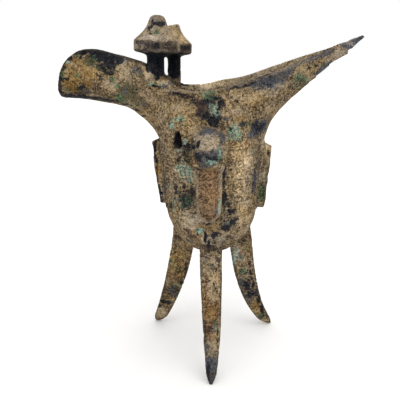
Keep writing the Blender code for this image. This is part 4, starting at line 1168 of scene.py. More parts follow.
        (-33.3, -18.2, 175.7, 0.8, 2.6, 1), (-34.3, -17.9, 172.2, 2.1, 2.1, 0.8),
        (-29.2, -19.6, 167, 1.2, 0.7, 1.1), (-38.2, -22.9, 184.6, 2.3, 1.5, 0.6),
        (2.7, 25.4, 161.9, 8.6, 1, 1.1), (10.7, -27, 159.9, 4.6, 2.5, 0.75),
        (16.9, -24.9, 159.2, 4.6, 3.6, 0.6), (13.4, -26.6, 153.3, 6.2, 3.1, 0.6),
        (23.8, -21.2, 158.9, 4.2, 3.1, 0.5), (34.5, -15.3, 165.2, 4.7, 2.1, 0.55),
        (45.1, -11.3, 173.7, 3.7, 1.6, 0.5), (-20.2, -23.6, 162.7, 11.4, 0.5, 1),
        (-5.8, 25.4, 159.5, 7.4, 0.5, 1), (-26.9, -20.8, 156, 4.2, 3.7, 0.6),
        (-19.7, -24.7, 153.4, 4.7, 2.6, 0.6), (-10.1, -29.3, 142.8, 3.6, 2.6, 0.9),
        (-13.8, -28.1, 144.1, 2.1, 1.6, 0.8), (-24.5, -21.5, 141.9, 2.1, 3.2, 0.5),
        (5.2, -29, 152.6, 2, 1.5, 0.5), (-9.3, -39, 140.6, 0.7, 0.7, 1),
        (-12.5, -26.8, 121.4, 3.2, 2.7, 0.55), (-16.5, -24.3, 116.3, 3.8, 3.3, 0.6),
        (-23.1, -18.3, 114.6, 1.7, 6.7, 0.5), (-19.8, -23.1, 117, 3.3, 0.5, 0.7),
        (-19.9, -22.6, 112.9, 2.7, 0.4, 0.7), (-23.1, -18.3, 114.6, 0.5, 2.2, 0.7),
        (-17.7, -23.6, 107, 1.7, 0.5, 0.8), (-13.8, -24.7, 104.5, 0.5, 1.6, 0.8),
        (-16, -25.1, 99.9, 1.7, 0.5, 0.8), (-11.5, -25.5, 102.4, 0.4, 2.2, 0.6),
        (18, -22.3, 127.3, 6.5, 5.4, 0.8), (17.2, -22.9, 115.2, 3.8, 6.5, 0.7),
        (14, -25.5, 131.2, 6.4, 3.2, 0.7), (11.5, -24.3, 104.2, 2.2, 2.7, 0.5),
        (17.1, -21.5, 101.6, 4.4, 3.3, 0.7), (18.9, -20.2, 116.8, 0.5, 6.6, 0.9),
        (21, -18.3, 108.3, 0.5, 4.5, 0.8), (24.4, -14.2, 114.1, 0.5, 6.7, 0.7),
        (10.6, -24, 95.9, 3, 0.5, 1), (10.6, -23.7, 94.1, 4.4, 0.5, 0.9),
        (11.8, -22.8, 92, 4.5, 0.4, 0.7), (7.7, -25.6, 100.2, 1.1, 0.4, 0.9),
        (-12.8, -23.8, 92.5, 4.5, 2.8, 1), (-15.2, -21.6, 88.1, 2.8, 2.8, 0.8),
        (-18.7, -20.1, 93.5, 2.3, 3.4, 0.6), (-5.8, -24, 82.6, 1.4, 1.7, 1.1),
        (7, -18.9, 77.1, 2.9, 1.7, 1.1), (15.3, -20.2, 89.9, 4, 4.5, 0.6),
        (19.3, -11.5, 81.8, 2.9, 3.5, 0.8), (14.5, -15.6, 79.6, 4.1, 2.9, 0.7),
        (9.1, -22, 84.5, 1.7, 1.1, 0.7), (19.9, -15.6, 92, 2.3, 2.9, 0.6),
        (0.9, -26.6, 66.6, 1.7, 4.5, 0.8), (-0.9, -25.8, 72.4, 1.7, 1.7, 0.6),
        (-1.2, -29.4, 51, 3.4, 3.4, 0.7), (0.6, -30.2, 47, 2.9, 2.3, 0.8),
        (-1.9, -27.4, 62, 1.7, 2.3, 0.7), (0.4, -28, 58, 2.3, 0.5, 0.8),
        (-1.7, -31, 43.5, 2.3, 0.5, 0.6), (-1.3, -38.9, 17, 1.1, 2.3, 0.6),
        (36.7, 19.3, 3.8, 2.8, 1.7, 0.8), (-20.1, 6.7, 62.6, 3.2, 3.2, 0.5),
        (17.3, 8.3, 46.6, 1.9, 1.9, 0.4), (67.1, -3.1, 181.8, 3.2, 1.8, 1.3),
        (63.6, -3.2, 178.7, 2.7, 1.6, 0.9), (-33.5, -18.1, 171.7, 1.2, 2.4, 1.3),
        (-32.5, -18.6, 168.2, 1.3, 1.3, 1.2), (-26.2, -20.9, 166.3, 2.1, 1, 1),
        (-3.8, -47.4, 139.9, 4.6, 3.1, 1.7), (-6.9, -43, 141.1, 2.5, 1.7, 1.4),
        (-0.4, -46.4, 141.2, 2.4, 1.9, 1.2), (-7.1, -47.9, 137, 1.9, 1.5, 0.9),
        (1.6, -48.4, 138.7, 1.4, 1.9, 0.8), (-33.6, -1.6, 127, 0.9, 2.9, 0.7),
        (-32.4, -1.6, 105.2, 0.8, 4.8, 0.7), (-10.5, -25, 93.6, 3.3, 2.2, 1.1),
        (-15.1, -22.9, 95.1, 1.7, 2.8, 0.7), (4.7, -24.1, 80.3, 3.4, 1.7, 1),
        (15.1, -21, 94.4, 3.9, 3.4, 0.8), (-11.1, -23.8, 88.4, 2.8, 2.2, 0.8),
        (-36, 17.1, 10.1, 3.5, 4.2, 1.4), (15.6, 6.6, 61.3, 2.5, 2.5, 0.7),
        (-40.2, -20.6, 184.7, 1.5, 1.7, 1.1), (-34.4, -25.3, 182.7, 2, 1, 0.7),
        (-37.7, -10.8, 148.4, 3.3, 2.2, 0.8), (-72.5, -5.6, 157.9, 1.7, 0.5, 2.2),
        (-65.4, -7, 157.6, 2.2, 0.5, 2.2), (-69, -6.2, 157.6, 1.1, 0.4, 1.8),
        (-5.5, -24.1, 82.3, 1.2, 2, 1.6), (5.8, -20, 78.1, 2.9, 1.7, 1.2),
        (-1, -24.5, 81.6, 0.8, 1.4, 1.2), (9.9, -26.6, 100, 2.7, 0.5, 1.5),
        (11.2, -23.4, 94.3, 3.3, 0.5, 1.5), (7.5, -25.4, 97.5, 0.6, 1.7, 1.2),
        (13.6, -22.3, 96.6, 0.6, 1.7, 1.2), (-12.5, 23.7, 161.1, 4.9, 1.3, 1.5),
        (-5.8, 25.1, 162.2, 4.9, 1.5, 1.7), (1.5, 25.4, 163.3, 4.9, 1.5, 1.7),
        (8.8, 24.7, 164.7, 4.3, 1.5, 1.5), (-18.2, 13.3, 189.8, 2.9, 2.9, 0.9),
        (0.4, -38.2, 18.7, 1.7, 4, 0.8), (-1.4, -37, 22.4, 1.7, 1.1, 0.8),
        (-26.9, 8.6, 49.8, 4.6, 7.8, 0.62), (-29.9, 10.6, 37.2, 3.3, 4, 0.6),
        (-2.5, -26.5, 67.7, 3.4, 4.5, 0.7), (-0.1, -28.4, 55.6, 3.4, 5.7, 0.7),
        (-33.8, -1.6, 121, 1.2, 4.7, 0.8), (-31.3, -24.8, 188.6, 5.5, 0.9, 1.6),
        (-37.1, -23.1, 188.2, 2, 0.7, 1.5), (-24.4, -23, 188.5, 3, 0.9, 1.4),
        (12.4, 23.8, 164.1, 4.8, 1.8, 2), (19.5, 21.2, 166.5, 4.8, 1.9, 2.2),
        (28, 17.2, 170.2, 5.9, 2, 2.4), (37.2, 12.7, 174.3, 5.2, 1.4, 2.4),
        (46.5, 11.1, 177.7, 5.1, 1.1, 2.2), (55.5, 6.1, 180.7, 4.5, 0.9, 2),
        (-12.5, -26.7, 120.3, 2.7, 3.2, 0.8), (-17.6, -23.7, 117.2, 2.7, 2.7, 0.75),
        (-20.9, -22.6, 120.3, 2.2, 2.7, 0.7), (-15.1, -23, 95.8, 2.8, 1.7, 0.8),
        (12.3, -25.1, 116.8, 2.7, 3.2, 0.7), (24.4, -6.9, 94, 2.9, 2.9, 0.7),
        (18.3, 7.4, 55.5, 3.2, 3.8, 0.8), (20.5, 8.5, 48, 1.9, 2.6, 0.7),
        (8.6, -27.2, 109, 1.4, 2.2, 0.8), (-2.6, -24.8, 79.3, 2.3, 2.3, 0.8),
        (3.6, -24.6, 78.1, 2.3, 2.3, 0.9), (72.6, -2.8, 186.4, 2.7, 1.6, 0.75),
        (-18.5, -15.8, 184.7, 0.5, 2.6, 1.4), (-32.4, -23.6, 189.4, 3.5, 1.5, 0.9),
        (-9.5, 24.5, 161.6, 4.9, 1.6, 1.6), (-1.5, 25.5, 162.6, 4.9, 1.6, 1.6),
        (6.4, 25.1, 164, 4.3, 1.5, 1.4), (15.2, -22.7, 109.5, 3.8, 3.8, 0.7),
        (12.6, -25.6, 124.1, 3.2, 4.8, 0.6), (21, -18.8, 122.6, 2.2, 3.3, 0.6),
        (-10.1, 24.4, 161.6, 4.3, 1.8, 1.6), (-5.2, 25.2, 161.9, 4.3, 1.8, 1.8),
        (-0.3, 25.5, 162.8, 4.3, 1.8, 1.8), (4.5, 25.2, 163.7, 4.3, 1.8, 1.8),
        (9.4, 24.5, 164.7, 3.6, 1.8, 1.5), (-16.7, 22.3, 160.9, 3, 1.3, 1.5),
        (-13.1, 23.5, 161.4, 3, 1.5, 1.6), (29.2, -18.1, 161.8, 7.3, 3.1, 0.6),
        (18.5, -24.1, 159.7, 5.1, 3.1, 0.7), (31, -1.6, 127.6, 1.7, 4, 1),
        (30.8, -1.6, 119.9, 1.7, 3.5, 0.8), (-34.3, -17.9, 171.2, 1.6, 2.6, 1.6),
        (-33.3, -18.4, 168.2, 1.6, 1.6, 1.3), (30.9, -1.6, 131.1, 1.7, 3.4, 0.8),
        (30.6, -1.6, 110.9, 1.8, 3.5, 0.8), (28, -8.4, 131.2, 1.7, 3.9, 1),
        (27.9, -7.9, 123.1, 1.7, 4, 0.9), (28.1, -1.6, 113.3, 1.8, 3.5, 0.8),
    ),
    "olive": (
        (-64.5, -14, 179.1, 2.6, 2.6, 1.1), (-67.7, -13.2, 174.5, 1.6, 2.1, 0.6),
        (-46.9, -12.4, 160.4, 6, 4.3, 0.9), (-51, -12.6, 164.1, 3.2, 2.2, 0.7),
        (-43.8, -12.3, 157.2, 3.3, 2.7, 0.8), (-52.2, -9.1, 155.8, 5, 1.4, 0.7),
        (50.5, -0.6, 164.7, 4.4, 2.8, 0.7), (45.3, -8.7, 167.9, 3.8, 2.1, 0.6),
        (1.1, -28.6, 158, 4.1, 3, 0.6), (16.3, -25.1, 145.4, 2.6, 2.6, 0.7),
        (-26.7, 11.1, 31.9, 4, 2.7, 1), (-22.7, 8.7, 45.6, 2.6, 5.2, 0.7),
        (-32.2, 12.2, 30.4, 1.3, 8, 0.7), (-19.7, -24, 160, 1, 3.1, 0.4),
        (-30.4, -18.2, 198.2, 2.5, 2, 0.6), (-29.1, -21.8, 191.4, 2.5, 3, 0.5),
        (-20.2, -20.6, 185.2, 2, 1.5, 0.7), (28.7, -1.6, 99.8, 2.4, 4.8, 0.7),
        (-14.9, -24.1, 105.4, 5, 5, 0.5), (-62.1, -13.7, 175, 3.2, 2.7, 0.8),
        (-67.3, -13.7, 177.6, 2.1, 2.7, 0.9), (-73.5, -11.5, 168.2, 1.6, 2.2, 0.7),
        (-76.2, -9.4, 162.7, 2.2, 2.2, 0.5), (19.3, 8.8, 44.3, 1.9, 1.9, 0.6),
        (-14.6, -26.6, 129, 3.2, 3.2, 0.7), (-65.2, -13.7, 176.6, 3.2, 3.2, 0.8),
        (-58.2, -14, 175.6, 3.2, 2.7, 0.8), (-46.4, -14, 165.3, 2.7, 3.2, 0.6),
        (-40.3, -13.7, 156.8, 3.3, 2.7, 0.6), (-50.3, -14.5, 171.5, 2.7, 2.1, 0.55),
        (-53.2, -11.1, 160.8, 2.2, 2.2, 0.5), (-57.9, -11.4, 164, 1.6, 1.6, 0.5),
        (30.4, -1.6, 99.9, 1.8, 3.6, 0.7),
    ),
}
PATCH_DEPTH = 9.0
print("patches:", {kind: len(rows) for kind, rows in PATCHES.items()})

# %% Fields of the patches
# Random patches on the sides that face away: how many of each, then the ranges of their half
# width, of half height to half width, and of strength
HIDDEN = {
    "dark": 20,
    "slate": 12,
    "turquoise": 9,
    "green": 9,
    "ochre": 12,
    "brown": 10,
    "pale": 16,
    "olive": 8,
}
HIDDEN_HALF = (1.2, 5.0)
HIDDEN_SHAPE = (0.6, 1.6)
HIDDEN_STRENGTH = (0.5, 0.85)
# They lie behind this y, and in the mouth only beyond this x
HIDDEN_Y = 6.0
MOUTH_Z = 150.0
HIDDEN_X = -34.0
# Most that noise bends a patch, and the size of that noise
PATCH_BEND = 1.5
BEND_SIZE = 5.0


def patch_field(points, bend, rows):
    """The largest of strength * (0.5 + 0.7 (1 - distance in half sizes)), and never below 0."""
    field = np.zeros(len(points))
    for x, y, z, half, high, strength in rows:
        near = np.flatnonzero(np.abs(points[:, 0] - x) < 2.5 * half + 1)
        away = points[near] + min(PATCH_BEND, 0.5 * half) * bend[near] - (x, y, z)
        deep = min(PATCH_DEPTH, 2.5 + 1.3 * max(half, high))
        apart = np.linalg.norm(away / (half, deep, high), axis=1)
        depth = strength * np.maximum(0.5 + 0.7 * (1 - apart), 0)
        field[near] = np.maximum(field[near], depth)
    return field


def hidden_patches():
    """Random patches for the sides that face away, on points of the cup's own grid."""
    cup_points = shells[0][0]
    x, y, z = cup_points.T
    back = cup_points[(y > HIDDEN_Y) & ((z < MOUTH_Z) | (x < HIDDEN_X))]
    made = {kind: [] for kind in HIDDEN}
    for kind, count in HIDDEN.items():
        for place in back[rng.integers(0, len(back), count)]:
            half = rng.uniform(*HIDDEN_HALF)
            high = half * rng.uniform(*HIDDEN_SHAPE)
            made[kind].append((*place, half, high, rng.uniform(*HIDDEN_STRENGTH)))
    return made


behind = hidden_patches()
bends = [layered_noise(points, BEND_SIZE, 2, 60 + 7 * axis) for axis in range(3)]
bend = np.stack(bends, axis=1)
print("patches on the hidden sides:", sum(len(rows) for rows in behind.values()))

# %% Minerals and painted light that follow a form
# Heights between which each part of a post begins, on the upright post
CONE_FOOT = (187.3, 187.9)
RIM_FOOT = (182.4, 182.9)
UNDER_FOOT = (178.0, 179.0)
STEM_FOOT = (167.0, 171.0)
# How much higher the painted shade on the stems starts on the spout's side
FOOT_RISE = 3.5


def post_parts(points):
    """Four masks: the caps' cones, their upright bands, their undersides, and the stems."""
    cone, band, under, stems = np.zeros((4, len(points)))
    lean = math.tan(CAP_LEAN)
    for x, y, drop in CAPS:
        high = points[:, 2] + drop + lean * (points[:, 0] - x)
        r = np.hypot(points[:, 0] - x - lean * (high - STEM_TOP), points[:, 1] - y)
        near = ease(14.0, 13.5, r)
        foot = high - FOOT_RISE * ease(1.0, -3.0, points[:, 0] - x)
        stem = ease(6.4, 5.6, r) * ease(180.0, 179.0, high)
        cone = np.maximum(cone, near * ease(*CONE_FOOT, high))
        band = np.maximum(band, near * ease(*RIM_FOOT, high) * ease(*CONE_FOOT[::-1], high))
        under = np.maximum(under, near * ease(*RIM_FOOT[::-1], high) * ease(*UNDER_FOOT, high))
        stems = np.maximum(stems, stem * ease(*STEM_FOOT, foot))
    return cone, band, under, stems


def strap_border(points):
    """1 on the strap's two raised borders and round its lower end, which take pale and slate,
    partly a painted highlight.
    """
    below = 0.65 * np.maximum(STRAP_ROUND[0] - points[:, 2], 0)
    return on_strap(points) * ease(4.9, 5.5, np.hypot(points[:, 0] - HANDLE_X, below))


def in_cup(points, normals):
    """1 on the wall's inner face below the mouth, where it is painted dark as shade; 0 elsewhere.
    """
    flat = points[:, :2] - (CUP_X, 0)
    outward = (flat * normals[:, :2]).sum(1) / np.maximum(np.hypot(*flat.T), 1)
    return ease(0.0, -0.4, outward) * ease(156, 146, points[:, 2]) * ease(64, 68, points[:, 2])


def placed(points, hollow):
    """Colours that follow a form: rust on the strap; pale and slate on its borders, partly a
    painted highlight; pale soil and painted light on the caps' cones; brown and painted shade on
    the caps' bands; black painted shade under the caps, on the stems and inside the cup.
    """
    cone, band, under, stems = post_parts(points)
    border = strap_border(points)
    return {
        "rust": 0.75 * on_strap(points) * (1 - border),
        "brown": 1.05 * band,
        "pale": np.maximum(0.5 * cone, 0.5 * border),
        "slate": 0.55 * border,
        # Painted shade: the caps' undersides and the stems are painted black, and the inside of the
        # cup dark.
        "dark": np.max([2.2 * under, 2.4 * stems, 0.8 * hollow], axis=0),
    }


def inside_fault(points):
    """True on the sides of the hole through the wall, and just behind it, where it is painted black
    as shade.
    """
    out = np.array([math.cos(HOLE_AZIMUTH), math.sin(HOLE_AZIMUTH)])
    flat = points[:, :2] - (CUP_X, 0)
    r, across = flat @ out, flat @ (-out[1], out[0])
    near = np.hypot(across, (points[:, 2] - HOLE_Z - 1.2) / 1.5) < HOLE_R + 0.2
    return near & (r > 20) & (r < wall_radius(points[:, 2]) - 0.5)


in_fault = inside_fault(points)
normals = read_vectors(skin, "normal")
hollow = in_cup(points, normals)
post_stems = post_parts(points)[3]
by_form = placed(points, hollow)
print("minerals that follow a form:", sorted(by_form))

# %% One field for each mineral
STRAY = 0.36
STRAY_SIZE = 7.0


def mineral_and_painted_light_field(points, normals, kind, seed):
    """Patches that noise has bent, the forms' own share, and stray flecks, stronger at the back."""
    rows = list(PATCHES[kind]) + list(behind.get(kind, ()))
    field = patch_field(points, bend, rows)
    stray = STRAY * ease(0.2, 0.65, layered_noise(points, STRAY_SIZE, 2, seed))
    field = np.maximum(field, stray * (0.5 + 0.5 * ease(0.1, 0.6, normals[:, 1])))
    field = np.maximum(field, by_form.get(kind, 0))
    if kind != "dark":
        # The other colours are kept off the painted shade inside the cup and on the stems.
        field = field * (1 - hollow) * (1 - 0.9 * post_stems)
    # In the fault hole the dark field is painted black shade, and every other colour is taken away.
    return np.where(in_fault, 3.0 if kind == "dark" else 0.0, field)


def keep_attribute(mesh, name, values):
    """A number for each vertex, which the material reads by name."""
    attribute = mesh.attributes.new(name, "FLOAT", "POINT")
    attribute.data.foreach_set("value", values.astype(np.float32))


for seed, kind in enumerate(PATCHES):
    values = mineral_and_painted_light_field(points, normals, kind, 200 + 10 * seed)
    keep_attribute(skin, kind, values)
    print(f"{kind}: {(values > 0.5).mean():.1%} of the points")

# %% Stains and painted light
# Broad soft stains that tint soil and minerals alike, and painted light. Rows that darken the caps'
# bands, the stems under the caps and the spout's lower lip are painted shade, and rows that lighten
# the far wall inside the mouth are painted light. Rows: x, y, z, half width, half height, then
# how much lighter and how much warmer
STAINS_AND_PAINTED_LIGHT = (
    (-60.6, -14.2, 180.1, 11.6, 4.2, -0.5, -0.2), (-79.1, -12.1, 171.3, 6.5, 8.6, -0.12, 1.1),
    (-73.9, -9.7, 162.7, 6.6, 3.3, -0.3, 0.8), (-63.1, -11.8, 167.2, 5.4, 5.4, 0.15, 0.4),
    (-48.8, -14.4, 169.4, 4.3, 6.4, 0.12, 0.3), (-47.4, -10.6, 156.5, 7.7, 5.5, -0.15, 0.2),
    (-37.4, -9.7, 146.6, 4.4, 5.6, -0.05, 0.4), (-18.6, -24.5, 160, 9.3, 3.1, -0.5, 0.1),
    (-5, -28.7, 155.5, 6.1, 6.1, -0.3, 0.1), (-24.2, -22.3, 153.6, 7.4, 5.3, 0, 0.3),
    (-13.3, -28.3, 144.6, 6.2, 3.6, 0.3, 0.3), (10.8, -27.2, 156.9, 9.2, 6.1, 0.1, 0.4),
    (32.5, -17.8, 169.9, 10.4, 2.6, -0.25, -0.4), (24.6, -21.5, 166, 5.1, 3.1, -0.2, -0.4),
    (65.5, -0.1, 177.6, 10.9, 5.5, 0.05, -0.2), (72.5, -1.7, 184.8, 6.5, 4.8, -0.1, -0.7),
    (24.1, -18.5, 144, 6.4, 4.8, -0.5, -0.5), (-20.3, -23.1, 120.4, 7.6, 16.3, 0.45, -0.05),
    (-10.3, -44.2, 135.8, 4.9, 3.9, -0.5, -0.2), (-13.7, -25.7, 102.5, 6.6, 5.5, -0.15, -0.1),
    (14.9, -24, 121, 7, 20.5, 0.62, 0.25), (24.4, -14.2, 114.1, 2.2, 11.2, -0.3, -0.4),
    (-33.7, -1.6, 113.8, 3, 20.1, 0.6, 0.6), (31, -1.6, 114.5, 2.9, 18.7, -0.15, 0.2),
    (-1.6, -50.3, 118.2, 6.4, 15.7, 0.28, 0.35), (-3.3, -46.5, 140.7, 5.3, 3.4, 0.05, -0.1),
    (-2.1, -52.2, 133.6, 5.7, 3.8, -0.3, -0.5), (-12.8, -23.7, 91.3, 6.7, 5, 0.25, -0.1),
    (8.4, -24.3, 90.1, 5.6, 6.7, -0.4, -0.4), (-0.4, -25.1, 77, 11.3, 3.4, -0.35, 0),
    (17, -18.7, 90.6, 5.1, 10.2, 0.2, 0.3), (-24.2, 8.3, 49.9, 8.4, 13, 0.12, 0.75),
    (-24.8, 11.3, 29.6, 5.3, 4, -0.3, 0.1), (-32.7, 14.1, 20.4, 4.1, 4.1, -0.1, 0.6),
    (-36, 17.4, 9.2, 4.9, 5.5, 0.2, 0.3), (-0.7, -28.5, 55.6, 6.9, 9.1, 0.15, 0.2),
    (-0.5, -32.2, 38.5, 5.7, 10.3, 0, 1), (-0.2, -37.9, 19.7, 4.6, 6.9, -0.2, 0.1),
    (0.1, -43.5, 5.7, 5.1, 9.2, -0.3, -0.9), (14.4, 6.8, 57.8, 5.1, 7.7, 0.15, -0.1),
    (21.6, 10.5, 34.9, 5.9, 9.2, -0.15, -0.2), (30.5, 15.5, 15.2, 6.1, 8.2, 0.15, 0.7),
    # (-28.7, -26.1, 184.6) darkens the near cap's band: brown with painted shade.
    (-30.1, -21.4, 191.9, 7.6, 4.5, -0.45, -0.5), (-28.7, -26.1, 184.6, 13, 2.5, -0.5, -0.5),
    (-19.3, 13.8, 191.4, 5.2, 4.6, 0.25, 0.4), (-29.4, -18.3, 198.2, 5.1, 3, -0.45, -0.5),
    # Painted shade: these two rows darken and cool the stems under the caps.
    (-30.4, -18.7, 176.8, 4.7, 5.2, -1.5, -2), (-24.6, 12.2, 173.8, 4.6, 6.4, -1.4, -2),
    # Painted light: the rows at positive y and z from 160 to 177 lighten the far wall inside the
    # mouth.
    (-12.5, 23.7, 160.8, 6.1, 2.4, 0.6, 0), (20.6, 20.7, 167.3, 9.6, 2.4, 0.4, -0.1),
    # (-85.9, -4.4, 158.4) is painted shade along the spout's lower lip.
    (39.9, 11.2, 174.5, 11.5, 2.3, 0.35, 0), (-85.9, -4.4, 158.4, 11.3, 2.3, -0.5, -0.3),
    (-83.2, -11.6, 169.7, 1.6, 8.7, -0.5, -0.3), (-0.9, -25.4, 75.3, 6.2, 4.5, -0.3, 0.3),
    (23.3, -21.6, 160, 7.3, 4.7, -0.15, 0), (16.9, -24.9, 160.3, 4.1, 4.1, 0.1, 0.5),
    (-22.9, -22.5, 165.9, 7.2, 2.6, 0.1, 0), (-3.8, -47.4, 139.9, 5.3, 3.4, 0.2, -0.2),
    (-34.5, -16.2, 154.5, 5.4, 3.2, -0.15, 0), (-24.3, 6.3, 74.3, 3.8, 6.3, 0.1, 0),
    (14.9, -22, 100.6, 5.6, 5.6, 0.2, 0.2), (-4.6, 25.2, 162.2, 5.5, 2.4, 0.8, 0),
    (3.9, 25.2, 163.4, 5.5, 2.4, 0.8, 0), (12.4, 23.7, 165.3, 4.8, 2.4, 0.5, 0),
    (29.7, -19.4, 170, 6.2, 2.6, -0.2, 0.2), (0.1, -43.5, 5.7, 3.4, 5.7, 0, 0.6),
    (14.7, -23, 109.5, 5.5, 6.6, 0.25, 0.2), (28, 17.2, 170.3, 8.2, 1.8, 0.25, 0),
    (43.8, 11.7, 176.7, 9.2, 1.4, 0.2, 0), (-58, -14.3, 179.1, 6.3, 3.2, -0.2, -0.5),
    (-29.8, -24.4, 188.9, 7, 1.5, 0.25, -0.1), (14.8, -24.4, 123.9, 7, 16.1, 0.3, 0),
    (23.6, 8.3, 52.4, 5.1, 9, 0.35, 0.3), (33.8, 18.2, 6, 4.1, 3.5, -0.25, 0),
    (-27.7, 9.5, 43.6, 5.9, 7.9, -0.35, 0.4), (-24, 7.6, 57.3, 5.8, 5.1, -0.25, 0.5),
    (-13.9, -27.3, 133.4, 4.2, 4.2, -0.1, 0), (-4.3, -24.7, 80.4, 5.6, 3.4, 0.3, 0.1),
    (8.1, -26.1, 106.9, 3.3, 6.5, 0.2, 0.1), (70.5, -3.2, 185.3, 4.3, 2.1, 0.3, 0),
    (75.7, -2.3, 188.4, 3.2, 2.1, 0.25, -0.1), (0.1, -44.4, 3.7, 2.9, 4.6, -0.35, -0.5),
    (-28.2, -26, 183.9, 7, 2, -0.35, -0.4), (-18.1, 12, 189.2, 4.6, 4.6, 0.1, 0),
    (-5.2, 25.2, 161.9, 6.1, 2.4, 0.55, -0.1), (3.9, 25.2, 163.7, 6.1, 2.4, 0.6, -0.1),
    (-32.4, -23.6, 189.4, 4, 2.5, 0.25, -0.1), (70.5, -3.2, 185.3, 4.8, 2.1, 0.3, 0),
    (-6.4, 25.1, 161.6, 3.1, 1.8, 0.2, 0), (0.1, -44.4, 3.7, 2.9, 4.6, -0.2, -0.2),
    (21.1, 11.1, 30.9, 4, 5.3, -0.3, -0.2), (-14.3, 23.2, 160.8, 4.3, 1.8, 0.5, 0),
    (24.9, -20.5, 159.4, 7.3, 3.6, 0.2, 0.5), (-20.6, -20.9, 114.2, 6.6, 12.1, 0.2, 0.05),
    (14.5, -25.3, 132.2, 6.3, 6.3, 0.15, 0.1), (-69.7, -12.4, 171.4, 7.5, 6.5, 0.15, 0.1),
    (-28.2, 8.9, 51, 5.2, 9.1, 0.15, 0.2), (14.8, -24.4, 123.9, 7.5, 16.1, 0.1, 0),
    (-19.3, -23.5, 116, 7.1, 15.3, 0.12, 0), (-18.4, 9.5, 188.1, 4, 4.5, 0.12, 0.1),
    (30.6, -1.6, 124.7, 2.9, 6.9, 0.55, 0), (30.4, -1.6, 101.7, 2.4, 4.7, 0.5, 0.3),
    (-34.7, -1.6, 121, 1.8, 11.7, -0.35, 0), (-1.8, -28.7, 54.4, 3.4, 9.1, -0.12, 0),
    (30.1, -18.1, 164.8, 5.2, 2.1, -0.2, -0.4), (-34.3, -17.9, 170.7, 2.1, 3.1, 0.6, 0.4),
    (-33.7, -18, 174.7, 2.1, 2.6, 0.5, 0.5), (14.4, 6.9, 57, 3.2, 5.1, 0.22, -0.5),
    (31, -1.6, 127.6, 2.3, 5.8, 0.35, 0.2), (30.4, -1.6, 114.5, 2.3, 4.7, 0.3, 0),
    (27.7, -19.9, 167, 6.2, 2.6, -0.25, -0.4), (76.4, -1.9, 188.4, 3.2, 1.6, -0.1, -0.6),
    (28.1, -8.3, 128.9, 2.8, 6.8, 0.4, 0.2), (27.8, -4.4, 115.2, 2.9, 5.8, 0.3, 0),
    (76.5, 0, 186.9, 3.2, 2.2, -0.1, -0.8),
)


def stain_and_painted_light_fields(points):
    """Sums of amount * exp(-(distance in half sizes)^2), one for lightness and one for warmth."""
    light, warm = np.zeros(len(points)), np.zeros(len(points))
    for x, y, z, half, high, more_light, more_warm in STAINS_AND_PAINTED_LIGHT:
        away = (points + 1.2 * bend - (x, y, z)) / (half, PATCH_DEPTH + 2, high)
        near = np.exp(-(away**2).sum(1))
        light += more_light * near
        warm += more_warm * near
    return light, warm


light, warm = stain_and_painted_light_fields(points)
keep_attribute(skin, "stain_and_painted_light", light)
keep_attribute(skin, "stain_and_painted_shade_warmth", warm)
print("stains:", len(STAINS_AND_PAINTED_LIGHT))

# %% Edges, hollows and the band's own coordinates
BULGE_FULL = 0.25
edges = edges_of(skin)
bulge = ((points - neighbour_mean(points, edges)) * normals).sum(1)
bulge = 0.5 * bulge + 0.5 * neighbour_mean(bulge, edges)
keep_attribute(skin, "bulge", np.clip(0.5 + bulge / BULGE_FULL, 0, 1))
keep_attribute(skin, "band", on_band(points, normals))
along, _, upward = points.T
# Painted highlight: convex edges of the rim above z 158 from x -24 to 62, of the caps and of the
# strap take a light tone. Convex edges of the legs and the spout take a stronger dark tone.
rim_highlight = ease(-24, -18, along) * ease(62, 50, along) * ease(158, 161, upward)
keep_attribute(skin, "edge_highlight", np.clip(rim_highlight + on_caps(points) + on_strap(points), 0, 1))
dark_edge = np.maximum(ease(64, 60, upward), ease(-42, -48, along))
keep_attribute(skin, "edge_amount", 0.45 + 0.45 * dark_edge)
own = skin.attributes.new("own_place", "FLOAT_VECTOR", "POINT")
place = np.stack([own_angle(points) * ARC, upward, 0 * upward], axis=1)
own.data.foreach_set("vector", place.astype(np.float32).ravel())
print("bulge from", round(float(bulge.min()), 2), "to", round(float(bulge.max()), 2), "mm")

# %% [markdown]
# ## Patina
#
# The finish is one material made of small parts. A shader node group is a named set of nodes, so an
# effect is built once and placed many times. One group breaks a mineral's soft field into a ragged
# patch, one gives the grain of the crust, and one draws the squared spirals from the band's place.

# %% Node helpers


def node(tree, kind, **settings):
    """A node with its settings."""
    made = tree.nodes.new(kind)
    for name, value in settings.items():
        setattr(made, name, value)
    return made


def feed(tree, socket, value):
    """Links an output into the socket, or sets the socket's own value."""
    if isinstance(value, bpy.types.NodeSocket):
        tree.links.new(value, socket)
    else:
        socket.default_value = value


def calc(tree, operation, *values):
    """One Math node."""
    made = node(tree, "ShaderNodeMath", operation=operation)
    for socket, value in zip(made.inputs, values):
        feed(tree, socket, value)
    return made.outputs[0]


def spread(tree, value, low, high, to_low=0.0, to_high=1.0):
    """A smooth step between low and high, from to_low to to_high."""
    made = node(tree, "ShaderNodeMapRange", interpolation_type="SMOOTHSTEP")
    names = ("Value", "From Min", "From Max", "To Min", "To Max")
    for name, given in zip(names, (value, low, high, to_low, to_high)):
        feed(tree, made.inputs[name], given)
    return made.outputs["Result"]


